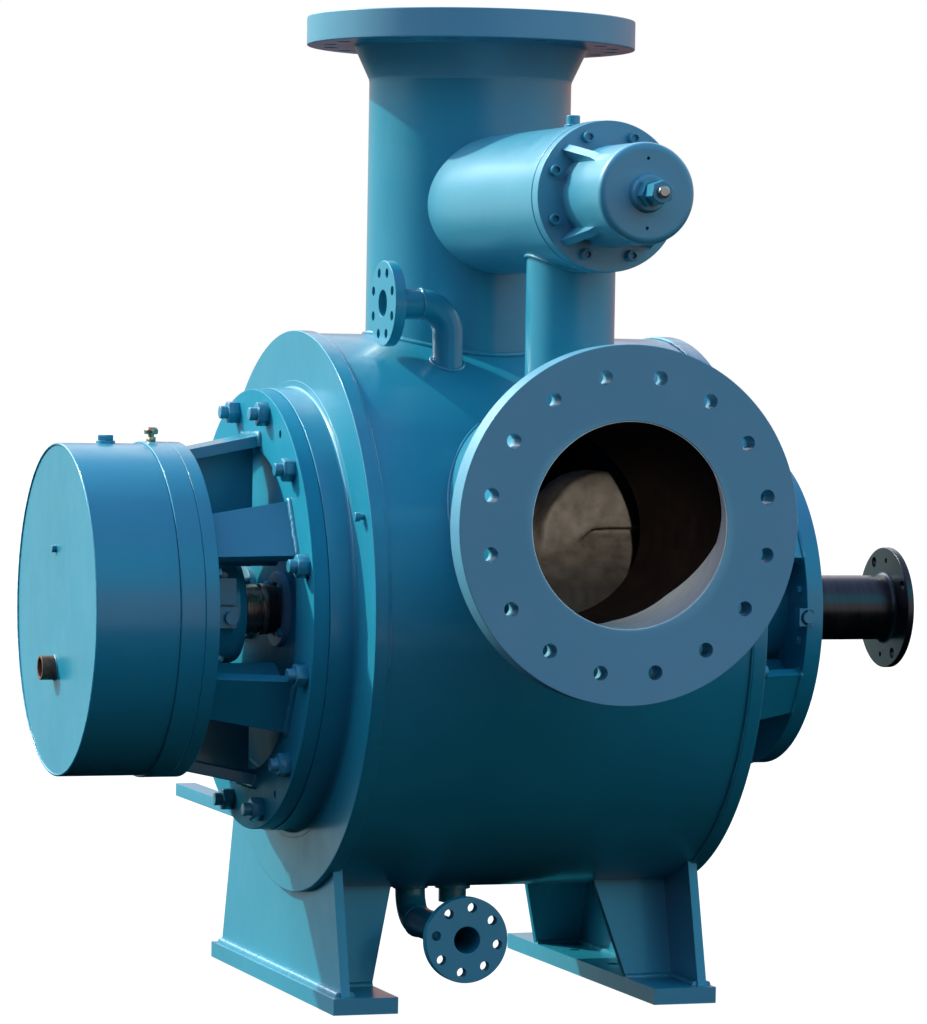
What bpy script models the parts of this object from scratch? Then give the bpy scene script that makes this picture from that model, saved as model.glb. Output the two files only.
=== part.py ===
"""Twin screw pump: a welded casing on two plate feet, with its suction on top, its
discharge in front, a relief valve between the two, and a rotor pair that runs along X.

The pump frame has X along the shafts with the coupling at +X, the discharge face
towards -Y and Z up from the floor. Everything hangs from one empty that puts the
middle of the part's bounding box over the origin. Sizes are millimetres here and are
turned into metres by MM.
"""
import math

import bmesh
import bpy
from mathutils import Matrix, Vector

MM = 0.001
# Touching pieces stay this far apart, and cutters run past what they cut
GAP = 0.3
CLEAR = 40.0

# Driving sizes of the casing
AXIS_Z = 765.0
CASING_Z = 761.0
BARREL_R = 554.0
BARREL_WALL = 16.0
BARREL_SEAM_X = 134.0
END_R = 559.0
END_THICK = 28.0
END_BORE_R = 330.0
END_LEFT_X = -362.0
END_RIGHT_X = 435.0
SEAT_R = 440.0
SEAT_LEFT_X = -414.0
SEAT_RIGHT_X = END_RIGHT_X
COVER_R = 437.0
COVER_THICK = 32.0
COVER_RECESS_R = 318.0
COVER_RECESS = 30.0
COVER_DISC_THICK = 28.0
SCREW_HOUSING_R = 172.0
SCREW_END_X, SCREW_END_R = 388.0, 110.0
LOBE_CORE_Y, LOBE_CORE_RISE = -60.0, 60.0
LOBE_CORE_PROFILE = [(0, 60), (150, 60), (172, 130), (172, 340), (0, 340)]
LOBE_R, LOBE_X, LOBE_RISE = 200.0, 265.0, 85.0
LOBE_LIP_RISE, LOBE_RIGHT_X = 173.0, 349.0
LOBE_FRONT_Y, LOBE_REAR_Y = -240.0, -120.0
LOBE_STEPS = 24

# Rotors, their lantern brackets and the gear case
SHAFT_Y = 115.0
SHAFT_RISE = 6.5
SHAFT_R = 45.0
SHAFT_FIT = 1.0
RUNNING_GAP = 6.0
SLEEVE_R, SLEEVE_LENGTH, SLEEVE_AWAY = 50.0, 45.0, 4.0
PLATE_LEFT_R = 331.0
PLATE_RIGHT_R = 320.0
PLATE_LEFT_THICK = 28.0
PLATE_RIGHT_THICK = 34.5
ARM_LENGTH = 153.5
ARM_STRAP, ARM_RIB_HALF = 23.0, 10.0
ARM_RIB_INNER_R, TOP_RIB_INNER_R = 205.0, 85.0
ARM_PLATE_R, ARM_PLATE_HALF = 315.0, 47.0
ARM_COVER_R, ARM_COVER_HALF = 347.0, 60.0
ARM_ANGLES = {"top": 90, "front_upper": 30, "front_lower": -30,
              "bottom": -90, "rear_lower": -150, "rear_upper": 150}
GEAR_FLANGE_THICK = 48.5
GEAR_CASE_R = 327.0
GEAR_CASE_LENGTH = 165.0
HOUSING_R = 108.0
HOUSING_LENGTH = 87.0
CAP_R, CAP_THICK = 104.0, 20.0
CAP_TOP_R, CAP_RISE = 86.0, 34.0
HUB_R = 66.0
COUPLING_R = 123.5
COUPLING_THICK = 14.0
COUPLING_X = 892.0
COUPLING_FILLET = 8.0
COUPLING_FIT = 0.6
COUPLING_HOLE_R, COUPLING_HOLES, COUPLING_PCR, COUPLING_START = 11.0, 4, 103.0, 152.0
COUPLING_TAP_R, COUPLING_TAPS, COUPLING_TAP_PCR, COUPLING_TAP_START = 6.0, 2, 98.0, 96.0

# Pipe sizes: outside and inside radius of the 16, 10, 6 and 2 inch pipes
MAIN_PIPE_R, MAIN_BORE_R = 203.2, 190.5
VALVE_R = 136.5
DOWN_PIPE_R = 84.15
SMALL_PIPE_R, SMALL_BORE_R = 30.15, 26.2

# Suction and discharge
SUCTION_TOP_Z = 1950.0
SUCTION_FLANGE_R = 330.0
SUCTION_FLANGE_THICK = 57.0
SUCTION_HOLES = 20
SUCTION_PCR = 286.0
SUCTION_START = 9.0
SUCTION_FOOT_Z = 1065.0
DISCHARGE_Z = 970.5
DISCHARGE_Y = -939.0
DISCHARGE_FLANGE_R = 330.0
DISCHARGE_FLANGE_THICK = 52.0
DISCHARGE_HOLES = 16
DISCHARGE_PCR = 274.0
DISCHARGE_START = 11.25
DISCHARGE_FOOT_Y = -380.0
MAIN_HOLE_R = 14.0
NECK_TOP_R = 235.0
NECK_LENGTH = 72.0

# Relief valve
VALVE_Z = 1573.0
VALVE_END_Y = -765.0
VALVE_REAR_Y = -60.0
VALVE_FLANGE_R = 141.0
VALVE_FLANGE_THICK = 30.0
BONNET_FLANGE_THICK = 32.0
BONNET_R = 93.0
BONNET_END_Y = -995.0
BONNET_EDGE = 14.0
BONNET_RIBS = 4
BONNET_RIB_HALF = 7.0
BONNET_RIB_PROFILE = [(85, 2), (126, 2), (99, -100), (85, -118)]
SCREW_TIP_Y = -1079.0
SCREW_R, LOCKNUT_R, SCREW_COLLAR_R = 11.0, 20.0, 30.0
LOCKNUT_LENGTH, SCREW_COLLAR = 26.0, 20.0
DOWN_PIPE_Y = -602.0

# Vent and drain lines with their two small flanges
SMALL_FLANGE_R = 83.5
SMALL_FLANGE_THICK = 22.0
SMALL_HOLES = 8
SMALL_PCR = 63.5
SMALL_HOLE_R = 9.5
ELBOW_R = 55.0
VENT_FACE = Vector((-255.0, -238.0, 1374.0))
VENT_LEG_X = -120.0
DRAIN_FACE = Vector((-110.0, -385.0, 144.0))
DRAIN_LEG_Y = -30.0
DRAIN_BOSS_X = -10.0
DRAIN_BOSS_PROFILE = [(0, 171), (28, 171), (28, 199), (36, 199), (36, 250), (0, 250)]
VENT_START, DRAIN_START = 22.5, 9.0
SMALL_LINE_REACH = 110.0

# Feet: each plate and web runs further to the rear than to the front
PLATE_THICK = 32.0
PLATE_WIDTH = 131.0
PLATE_FRONT_Y, PLATE_REAR_Y = -348.0, 520.0
PLATE_X = {"left": -367.0, "right": 296.0}
WEB_THICK = 19.0
WEB_X = {"left": -346.0, "right": 396.0}
WEB_FRONT_Y, WEB_REAR_Y = -329.0, 514.0
WEB_TOP_Z = 303.0
EDGE_SLOPE = 0.273
GUSSET_Y = {"front": -178.0, "rear": 350.0}
GUSSET_THICK = 18.0
GUSSET_WIDEN = 0.28
GUSSET_TOP_Z = 330.0
WELD_BITE = 2.0
ANCHOR_Y = (12.0, 234.0)
ANCHOR_INSET = 50.0
ANCHOR_R = 13.0
BAR_FRONT_Y, BAR_REAR_Y = 250.0, 898.0
BAR_WIDTH = 45.0
BAR_THICK = 27.0

# Sides of the round pieces, by size
LARGE, MEDIUM, SMALL, HOLE = 40, 28, 16, 6

# Corners of the barrel's round on top and in the discharge port, counted from the rear
TOP_CORNER, DISCHARGE_CORNER = 10, 17

# Places that follow from the sizes above
SHAFT_Z = AXIS_Z + SHAFT_RISE
COVER_LEFT_X = SEAT_LEFT_X - COVER_THICK
COVER_RIGHT_X = SEAT_RIGHT_X + COVER_THICK
PLATE_LEFT_X = COVER_LEFT_X - ARM_LENGTH
PLATE_RIGHT_X = COVER_RIGHT_X + ARM_LENGTH
GEAR_FLANGE_X = PLATE_LEFT_X - PLATE_LEFT_THICK
GEAR_CASE_X = GEAR_FLANGE_X - GEAR_FLANGE_THICK
GEAR_END_X = GEAR_CASE_X - GEAR_CASE_LENGTH
PLATE_RIGHT_FACE_X = PLATE_RIGHT_X + PLATE_RIGHT_THICK
MIDDLE_X = (GEAR_END_X + COUPLING_X) / 2
MIDDLE_Y = (SCREW_TIP_Y + BAR_REAR_Y) / 2

AXES = {
    "x": Matrix(((0, 0, 1), (1, 0, 0), (0, 1, 0))),
    "y": Matrix(((0, 1, 0), (0, 0, 1), (1, 0, 0))),
    "z": Matrix(((1, 0, 0), (0, 1, 0), (0, 0, 1))),
}


def clear_scene():
    for obj in list(bpy.data.objects):
        bpy.data.objects.remove(obj)


def paint(name, colour, roughness, metallic):
    material = bpy.data.materials.new(name)
    material.use_nodes = True
    shader = material.node_tree.nodes["Principled BSDF"]
    shader.inputs["Base Color"].default_value = (*colour, 1.0)
    shader.inputs["Roughness"].default_value = roughness
    shader.inputs["Metallic"].default_value = metallic
    return material


def make_object(name, bm, material, smooth=True):
    """Turn a bmesh in millimetres of the pump frame into an object under the frame."""
    bmesh.ops.scale(bm, vec=(MM, MM, MM), verts=bm.verts)
    bmesh.ops.recalc_face_normals(bm, faces=bm.faces)
    mesh = bpy.data.meshes.new(name)
    bm.to_mesh(mesh)
    bm.free()
    if smooth:
        mesh.shade_smooth()
        mesh.set_sharp_from_angle(angle=math.radians(30))
    obj = bpy.data.objects.new(name, mesh)
    bpy.context.collection.objects.link(obj)
    obj.parent = FRAME
    if material:
        obj.data.materials.append(material)
    return obj


def turned_mesh(profile, axis, centre, segments):
    """Revolve an outline of (radius, along) points about an axis through centre.

    An outline that starts and ends on the axis makes a solid with two flat ends, and
    any other outline closes on itself and makes a ring.
    """
    bm = bmesh.new()
    turn = AXES[axis]
    solid = profile[0][0] == 0
    outline = profile[1:-1] if solid else profile
    rings = []
    for radius, along in outline:
        ring = []
        for step in range(segments):
            angle = 2 * math.pi * step / segments
            point = turn @ Vector((radius * math.cos(angle), radius * math.sin(angle), along))
            ring.append(bm.verts.new(point + centre))
        rings.append(ring)
    following = rings[1:] if solid else rings[1:] + rings[:1]
    for first, second in zip(rings, following):
        for step in range(segments):
            after = (step + 1) % segments
            bm.faces.new([first[step], first[after], second[after], second[step]])
    if solid:
        bm.faces.new(rings[0])
        bm.faces.new(list(reversed(rings[-1])))
    return bm


def turned(name, profile, axis, centre, material, segments=LARGE):
    return make_object(name, turned_mesh(profile, axis, Vector(centre), segments), material)


def prism_mesh(outline, axis, low, high):
    """Extrude a polygon along an axis; its points lie in the plane of the other two."""
    bm = bmesh.new()
    turn = AXES[axis]
    ends = []
    for along in (low, high):
        ends.append([bm.verts.new(turn @ Vector((u, v, along))) for u, v in outline])
    bm.faces.new(ends[0])
    bm.faces.new(list(reversed(ends[1])))
    count = len(outline)
    for step in range(count):
        after = (step + 1) % count
        bm.faces.new([ends[0][step], ends[1][step], ends[1][after], ends[0][after]])
    return bm


def loft_mesh(sections):
    """Join closed sections of equally many points, with a cap on the first and last."""
    bm = bmesh.new()
    rings = [[bm.verts.new(point) for point in section] for section in sections]
    for first, second in zip(rings, rings[1:]):
        count = len(first)
        for step in range(count):
            after = (step + 1) % count
            bm.faces.new([first[step], first[after], second[after], second[step]])
    bm.faces.new(rings[0])
    bm.faces.new(list(reversed(rings[-1])))
    return bm


def tube_mesh(path, outer, inner, segments):
    """Sweep a ring along a plane path: an open pipe with flat ends."""
    bm = bmesh.new()
    side = (path[1] - path[0]).cross(path[-1] - path[-2])
    side.normalize()
    loops = {outer: [], inner: []}
    for index, point in enumerate(path):
        before = path[max(index - 1, 0)]
        after = path[min(index + 1, len(path) - 1)]
        forward = (after - before).normalized()
        across = side.cross(forward)
        for radius, rings in loops.items():
            ring = []
            for step in range(segments):
                angle = 2 * math.pi * step / segments
                offset = side * math.cos(angle) + across * math.sin(angle)
                ring.append(bm.verts.new(point + offset * radius))
            rings.append(ring)
    for rings in loops.values():
        for first, second in zip(rings, rings[1:]):
            for step in range(segments):
                after = (step + 1) % segments
                bm.faces.new([first[step], first[after], second[after], second[step]])
    for end in (0, -1):
        for step in range(segments):
            after = (step + 1) % segments
            bm.faces.new([loops[outer][end][step], loops[outer][end][after],
                          loops[inner][end][after], loops[inner][end][step]])
    return bm


def boolean(target, tool, operation="DIFFERENCE"):
    modifier = target.modifiers.new(operation.lower(), "BOOLEAN")
    modifier.operation = operation
    modifier.solver = "EXACT"
    modifier.object = tool
    tool.hide_render = True
    tool.display_type = "WIRE"


def rod_cutter(name, radius, axis, centre, low, high, segments=SMALL):
    profile = [(0, low), (radius, low), (radius, high), (0, high)]
    return turned(name, profile, axis, centre, None, segments)


def hole_cutter(name, radius, pitch_radius, count, axis, centre, low, high, start, segments=HOLE):
    """One cutter object that holds a whole circle of holes, as rods that don't touch."""
    bm = bmesh.new()
    turn = AXES[axis]
    for hole in range(count):
        angle = math.radians(start + 360.0 * hole / count)
        middle = turn @ Vector((pitch_radius * math.cos(angle), pitch_radius * math.sin(angle), 0))
        rod = turned_mesh([(0, low), (radius, low), (radius, high), (0, high)],
                          axis, Vector(centre) + middle, segments)
        scratch = bpy.data.meshes.new("rod")
        rod.to_mesh(scratch)
        rod.free()
        bm.from_mesh(scratch)
        bpy.data.meshes.remove(scratch)
    return make_object(name, bm, None)


def casing_envelope():
    """The casing's outside with the touching gap, which trims what is welded to it."""
    step_left = END_LEFT_X + END_THICK + GAP
    step_right = END_RIGHT_X - END_THICK - GAP
    profile = [(0, END_LEFT_X - GAP), (END_R + GAP, END_LEFT_X - GAP),
               (END_R + GAP, step_left), (BARREL_R + GAP, step_left),
               (BARREL_R + GAP, step_right), (END_R + GAP, step_right),
               (END_R + GAP, END_RIGHT_X + GAP), (0, END_RIGHT_X + GAP)]
    return turned("cut_casing_envelope", profile, "x", (0, 0, CASING_Z), None, LARGE)


def barrel_strip_mesh(first, last):
    """A strip of the barrel's plate between two corners of its round."""
    corners = list(range(first, last + 1))
    outline = []
    for radius, order in ((BARREL_R, corners), (BARREL_R - BARREL_WALL, corners[::-1])):
        for corner in order:
            angle = 2 * math.pi * corner / LARGE
            outline.append((radius * math.cos(angle), CASING_Z + radius * math.sin(angle)))
    return prism_mesh(outline, "x", GAP - BARREL_SEAM_X, BARREL_SEAM_X - GAP)


def build_barrel(blue):
    """Two hoops with two strips between them, so that the seams run through the main ports."""
    left = END_LEFT_X + END_THICK + GAP
    right = END_RIGHT_X - END_THICK - GAP
    inside = BARREL_R - BARREL_WALL
    plates = {}
    for side, low, high in (("left", left, -BARREL_SEAM_X), ("right", BARREL_SEAM_X, right)):
        plates[side] = turned(f"casing_barrel_{side}",
                              [(BARREL_R, low), (BARREL_R, high), (inside, high), (inside, low)],
                              "x", (0, 0, CASING_Z), blue, LARGE)
    for place, first, last in (("front", TOP_CORNER, DISCHARGE_CORNER),
                               ("rear", DISCHARGE_CORNER, TOP_CORNER + LARGE)):
        plates[place] = make_object(f"casing_barrel_{place}", barrel_strip_mesh(first, last), blue)
    near, far = BARREL_R / 2, BARREL_R + CLEAR
    ports = {"suction": (MAIN_BORE_R, "z", (0, 0, CASING_Z), near, far, LARGE),
             "discharge": (MAIN_BORE_R, "y", (0, 0, DISCHARGE_Z), -far, -near, LARGE),
             "vent": (SMALL_BORE_R, "z", (VENT_LEG_X, VENT_FACE.y, CASING_Z), near, far),
             "drain": (SMALL_BORE_R, "z", (DRAIN_FACE.x, DRAIN_LEG_Y, CASING_Z), -far, -near)}
    crossed = {"left": ("suction", "discharge", "vent", "drain"), "right": ("suction", "discharge"),
               "front": ("suction", "discharge", "vent"), "rear": ("suction", "discharge", "drain")}
    for place, names in crossed.items():
        for port in names:
            boolean(plates[place], rod_cutter(f"cut_{place}_at_{port}", *ports[port]))


def build_casing(blue):
    build_barrel(blue)
    sides = {"left": (END_LEFT_X, END_LEFT_X + END_THICK, SEAT_LEFT_X),
             "right": (END_RIGHT_X, END_RIGHT_X - END_THICK, SEAT_RIGHT_X)}
    for side, (face, back, seat) in sides.items():
        ring = turned(f"casing_end_{side}",
                      [(0, back), (END_R, back), (END_R, face), (0, face)],
                      "x", (0, 0, CASING_Z), blue, LARGE)
        if seat != face:
            middle = (face + back) / 2
            raised = turned(f"join_seat_{side}",
                            [(0, middle), (SEAT_R, middle), (SEAT_R, seat), (0, seat)],
                            "x", (0, 0, AXIS_Z), None, LARGE)
            boolean(ring, raised, "UNION")
        low, high = min(seat, back) - CLEAR, max(seat, back) + CLEAR
        boolean(ring, rod_cutter(f"cut_end_bore_{side}", END_BORE_R, "x", (0, 0, AXIS_Z),
                                 low, high, LARGE))


def lobe_outline():
    """The round of the discharge lobe above its lip, as (Z, X) points."""
    left = math.pi - math.asin((LOBE_LIP_RISE - LOBE_RISE) / LOBE_R)
    right = math.acos((LOBE_RIGHT_X - LOBE_X) / LOBE_R)
    points = []
    for step in range(LOBE_STEPS + 1):
        angle = left + (right - left) * step / LOBE_STEPS
        points.append((AXIS_Z + LOBE_RISE + LOBE_R * math.sin(angle),
                       LOBE_X + LOBE_R * math.cos(angle)))
    return points + [(AXIS_Z + LOBE_LIP_RISE, LOBE_RIGHT_X)]


def build_screw_housing(cast):
    """The cast housing of the two screws, seen through the discharge bore."""
    low = COVER_LEFT_X + COVER_RECESS + COVER_DISC_THICK + GAP
    high = COVER_RIGHT_X - COVER_RECESS - COVER_DISC_THICK - GAP
    profile = [(0, low), (SCREW_HOUSING_R, low), (SCREW_HOUSING_R, SCREW_END_X),
               (SCREW_END_R, SCREW_END_X), (SCREW_END_R, high), (0, high)]
    housing = turned("screw_housing", profile, "x", (0, -SHAFT_Y, SHAFT_Z), cast, MEDIUM)
    rear = turned("join_rear_bore", profile, "x", (0, SHAFT_Y, SHAFT_Z), None, MEDIUM)
    boolean(housing, rear, "UNION")
    core = turned("join_lobe_core", LOBE_CORE_PROFILE, "x",
                  (0, LOBE_CORE_Y, AXIS_Z + LOBE_CORE_RISE), None, MEDIUM)
    boolean(housing, core, "UNION")
    lobe = make_object("join_discharge_lobe",
                       prism_mesh(lobe_outline(), "y", LOBE_FRONT_Y, LOBE_REAR_Y), None)
    boolean(housing, lobe, "UNION")
    for side, place in (("front", -SHAFT_Y), ("rear", SHAFT_Y)):
        boolean(housing, rod_cutter(f"cut_{side}_screw_bore", SHAFT_R + SHAFT_FIT, "x",
                                    (0, place, SHAFT_Z), low - CLEAR, high + CLEAR))


def build_cover(side, blue):
    """A bolted cover: a thick ring whose middle, around the two seals, is let in."""
    sign = -1 if side == "left" else 1
    seat = (SEAT_LEFT_X if side == "left" else SEAT_RIGHT_X) + sign * GAP
    face = COVER_LEFT_X if side == "left" else COVER_RIGHT_X
    floor = face - sign * COVER_RECESS
    back = floor - sign * COVER_DISC_THICK
    plug_r = END_BORE_R - GAP
    cover = turned(f"cover_{side}",
                   [(0, back), (plug_r, back), (plug_r, seat), (COVER_R, seat),
                    (COVER_R, face), (COVER_RECESS_R, face), (COVER_RECESS_R, floor), (0, floor)],
                   "x", (0, 0, AXIS_Z), blue, LARGE)
    low, high = sorted((face + sign * CLEAR, back - sign * CLEAR))
    for name, place in (("front", -SHAFT_Y), ("rear", SHAFT_Y)):
        boolean(cover, rod_cutter(f"cut_{side}_{name}_shaft", SHAFT_R + SHAFT_FIT, "x",
                                  (0, place, SHAFT_Z), low, high))


def arm_section(along, outer, half_width, angle, rib_inner):
    """A T: the strap across and the rib under it, as points of the plane X = along."""
    rib_outer = outer - ARM_STRAP
    radial = Vector((0, -math.cos(angle), math.sin(angle)))
    tangent = Vector((0, math.sin(angle), math.cos(angle)))
    centre = Vector((along, 0, AXIS_Z))
    outline = [(-half_width, outer), (half_width, outer),
               (half_width, rib_outer), (ARM_RIB_HALF, rib_outer),
               (ARM_RIB_HALF, rib_inner), (-ARM_RIB_HALF, rib_inner),
               (-ARM_RIB_HALF, rib_outer), (-half_width, rib_outer)]
    return [centre + tangent * u + radial * v for u, v in outline]


def build_arms(side, blue):
    plate, cover = ((PLATE_LEFT_X + GAP, COVER_LEFT_X - GAP) if side == "left"
                    else (PLATE_RIGHT_X - GAP, COVER_RIGHT_X + GAP))
    for place, degrees in ARM_ANGLES.items():
        angle = math.radians(degrees)
        rib_inner = TOP_RIB_INNER_R if place == "top" else ARM_RIB_INNER_R
        sections = [arm_section(plate, ARM_PLATE_R, ARM_PLATE_HALF, angle, rib_inner),
                    arm_section(cover, ARM_COVER_R, ARM_COVER_HALF, angle, rib_inner)]
        make_object(f"arm_{side}_{place}", loft_mesh(sections), blue, smooth=False)


def build_bearings(blue):
    plates = {"left": (PLATE_LEFT_X - PLATE_LEFT_THICK, PLATE_LEFT_X, PLATE_LEFT_R),
              "right": (PLATE_RIGHT_X, PLATE_RIGHT_FACE_X, PLATE_RIGHT_R)}
    for side, (low, high, radius) in plates.items():
        plate = turned(f"bearing_plate_{side}",
                       [(0, low), (radius, low), (radius, high), (0, high)],
                       "x", (0, 0, AXIS_Z), blue, LARGE)
        inward = (high + GAP) if side == "left" else (low - GAP)
        sign = 1 if side == "left" else -1
        for name, place in (("front", -SHAFT_Y), ("rear", SHAFT_Y)):
            boolean(plate, rod_cutter(f"cut_plate_{side}_{name}", SHAFT_R + SHAFT_FIT, "x",
                                      (0, place, SHAFT_Z), low - CLEAR, high + CLEAR))
            bore, end = SHAFT_R + SHAFT_FIT, inward + sign * HOUSING_LENGTH
            turned(f"bearing_housing_{side}_{name}",
                   [(bore, inward), (HOUSING_R, inward), (HOUSING_R, end), (bore, end)],
                   "x", (0, place, SHAFT_Z), blue, MEDIUM)
    face = PLATE_RIGHT_FACE_X + GAP
    shoulder, cap_bore = face + CAP_THICK, HUB_R + RUNNING_GAP
    turned("bearing_cap_drive",
           [(cap_bore, face), (CAP_R, face), (CAP_R, shoulder), (cap_bore, shoulder)],
           "x", (0, -SHAFT_Y, SHAFT_Z), blue, MEDIUM)
    turned("bearing_cap_driven",
           [(0, face), (CAP_R, face), (CAP_R, shoulder),
            (CAP_TOP_R, face + CAP_RISE), (0, face + CAP_RISE)],
           "x", (0, SHAFT_Y, SHAFT_Z), blue, MEDIUM)


def build_gear_case(blue):
    face = GEAR_FLANGE_X - GAP
    flange = turned("gear_case_flange",
                    [(0, GEAR_CASE_X), (PLATE_LEFT_R, GEAR_CASE_X), (PLATE_LEFT_R, face),
                     (0, face)],
                    "x", (0, 0, AXIS_Z), blue, LARGE)
    for name, place in (("front", -SHAFT_Y), ("rear", SHAFT_Y)):
        boolean(flange, rod_cutter(f"cut_gear_case_{name}", SHAFT_R + SHAFT_FIT, "x",
                                   (0, place, SHAFT_Z), GEAR_CASE_X - CLEAR, face + CLEAR))
    back = GEAR_CASE_X - GAP
    turned("gear_case_cover",
           [(0, GEAR_END_X), (GEAR_CASE_R, GEAR_END_X), (GEAR_CASE_R, back), (0, back)],
           "x", (0, 0, AXIS_Z), blue, LARGE)


def build_rotors(steel, black):
    """Two stepped shafts; the front one carries the drive coupling."""
    inside = GEAR_CASE_X + 2 * RUNNING_GAP
    left = COVER_LEFT_X - SLEEVE_AWAY - SLEEVE_LENGTH
    right = COVER_RIGHT_X + SLEEVE_AWAY
    steps = [(0, inside), (SHAFT_R, inside)]
    for low in (left, right):
        high = low + SLEEVE_LENGTH
        steps += [(SHAFT_R, low), (SLEEVE_R, low), (SLEEVE_R, high), (SHAFT_R, high)]
    front = (0, -SHAFT_Y, SHAFT_Z)
    back = COUPLING_X - COUPLING_THICK
    turned("drive_shaft", steps + [(SHAFT_R, back), (0, back)], "x", front, steel, SMALL)
    end = PLATE_RIGHT_FACE_X - RUNNING_GAP
    turned("driven_shaft", steps + [(SHAFT_R, end), (0, end)],
           "x", (0, SHAFT_Y, SHAFT_Z), steel, SMALL)
    bore, hub_foot = SHAFT_R + COUPLING_FIT, PLATE_RIGHT_FACE_X + RUNNING_GAP
    coupling = turned("coupling_flange",
                      [(bore, hub_foot), (HUB_R, hub_foot), (HUB_R, back - COUPLING_FILLET),
                       (HUB_R + COUPLING_FILLET, back), (COUPLING_R, back),
                       (COUPLING_R, COUPLING_X), (bore, COUPLING_X)],
                      "x", front, black, MEDIUM)
    low, high = back - CLEAR, COUPLING_X + CLEAR
    boolean(coupling, hole_cutter("cut_coupling_holes", COUPLING_HOLE_R, COUPLING_PCR,
                                  COUPLING_HOLES, "x", front, low, high, COUPLING_START))
    boolean(coupling, hole_cutter("cut_coupling_taps", COUPLING_TAP_R, COUPLING_TAP_PCR,
                                  COUPLING_TAPS, "x", front, low, high, COUPLING_TAP_START))


def build_suction(blue, trim):
    flange_back = SUCTION_TOP_Z - SUCTION_FLANGE_THICK
    neck_foot = flange_back - NECK_LENGTH
    flange = turned("suction_flange",
                    [(MAIN_BORE_R, neck_foot), (MAIN_PIPE_R, neck_foot),
                     (NECK_TOP_R, flange_back), (SUCTION_FLANGE_R, flange_back),
                     (SUCTION_FLANGE_R, SUCTION_TOP_Z), (MAIN_BORE_R, SUCTION_TOP_Z)],
                    "z", (0, 0, 0), blue, LARGE)
    boolean(flange, hole_cutter("cut_suction_holes", MAIN_HOLE_R, SUCTION_PCR, SUCTION_HOLES,
                                "z", (0, 0, 0), flange_back - CLEAR, SUCTION_TOP_Z + CLEAR,
                                SUCTION_START))
    pipe = turned("suction_pipe",
                  [(MAIN_BORE_R, SUCTION_FOOT_Z), (MAIN_PIPE_R, SUCTION_FOOT_Z),
                   (MAIN_PIPE_R, neck_foot - GAP), (MAIN_BORE_R, neck_foot - GAP)],
                  "z", (0, 0, 0), blue, LARGE)
    boolean(pipe, trim)


def build_discharge(blue, trim):
    flange_back = DISCHARGE_Y + DISCHARGE_FLANGE_THICK
    neck_foot = flange_back + NECK_LENGTH
    centre = (0, 0, DISCHARGE_Z)
    flange = turned("discharge_flange",
                    [(MAIN_BORE_R, DISCHARGE_Y), (DISCHARGE_FLANGE_R, DISCHARGE_Y),
                     (DISCHARGE_FLANGE_R, flange_back), (NECK_TOP_R, flange_back),
                     (MAIN_PIPE_R, neck_foot), (MAIN_BORE_R, neck_foot)],
                    "y", centre, blue, LARGE)
    boolean(flange, hole_cutter("cut_discharge_holes", MAIN_HOLE_R, DISCHARGE_PCR,
                                DISCHARGE_HOLES, "y", centre,
                                DISCHARGE_Y - CLEAR, flange_back + CLEAR, DISCHARGE_START))
    neck = turned("discharge_neck",
                  [(MAIN_BORE_R, neck_foot + GAP), (MAIN_PIPE_R, neck_foot + GAP),
                   (MAIN_PIPE_R, DISCHARGE_FOOT_Y), (MAIN_BORE_R, DISCHARGE_FOOT_Y)],
                  "y", centre, blue, LARGE)
    boolean(neck, trim)


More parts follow.
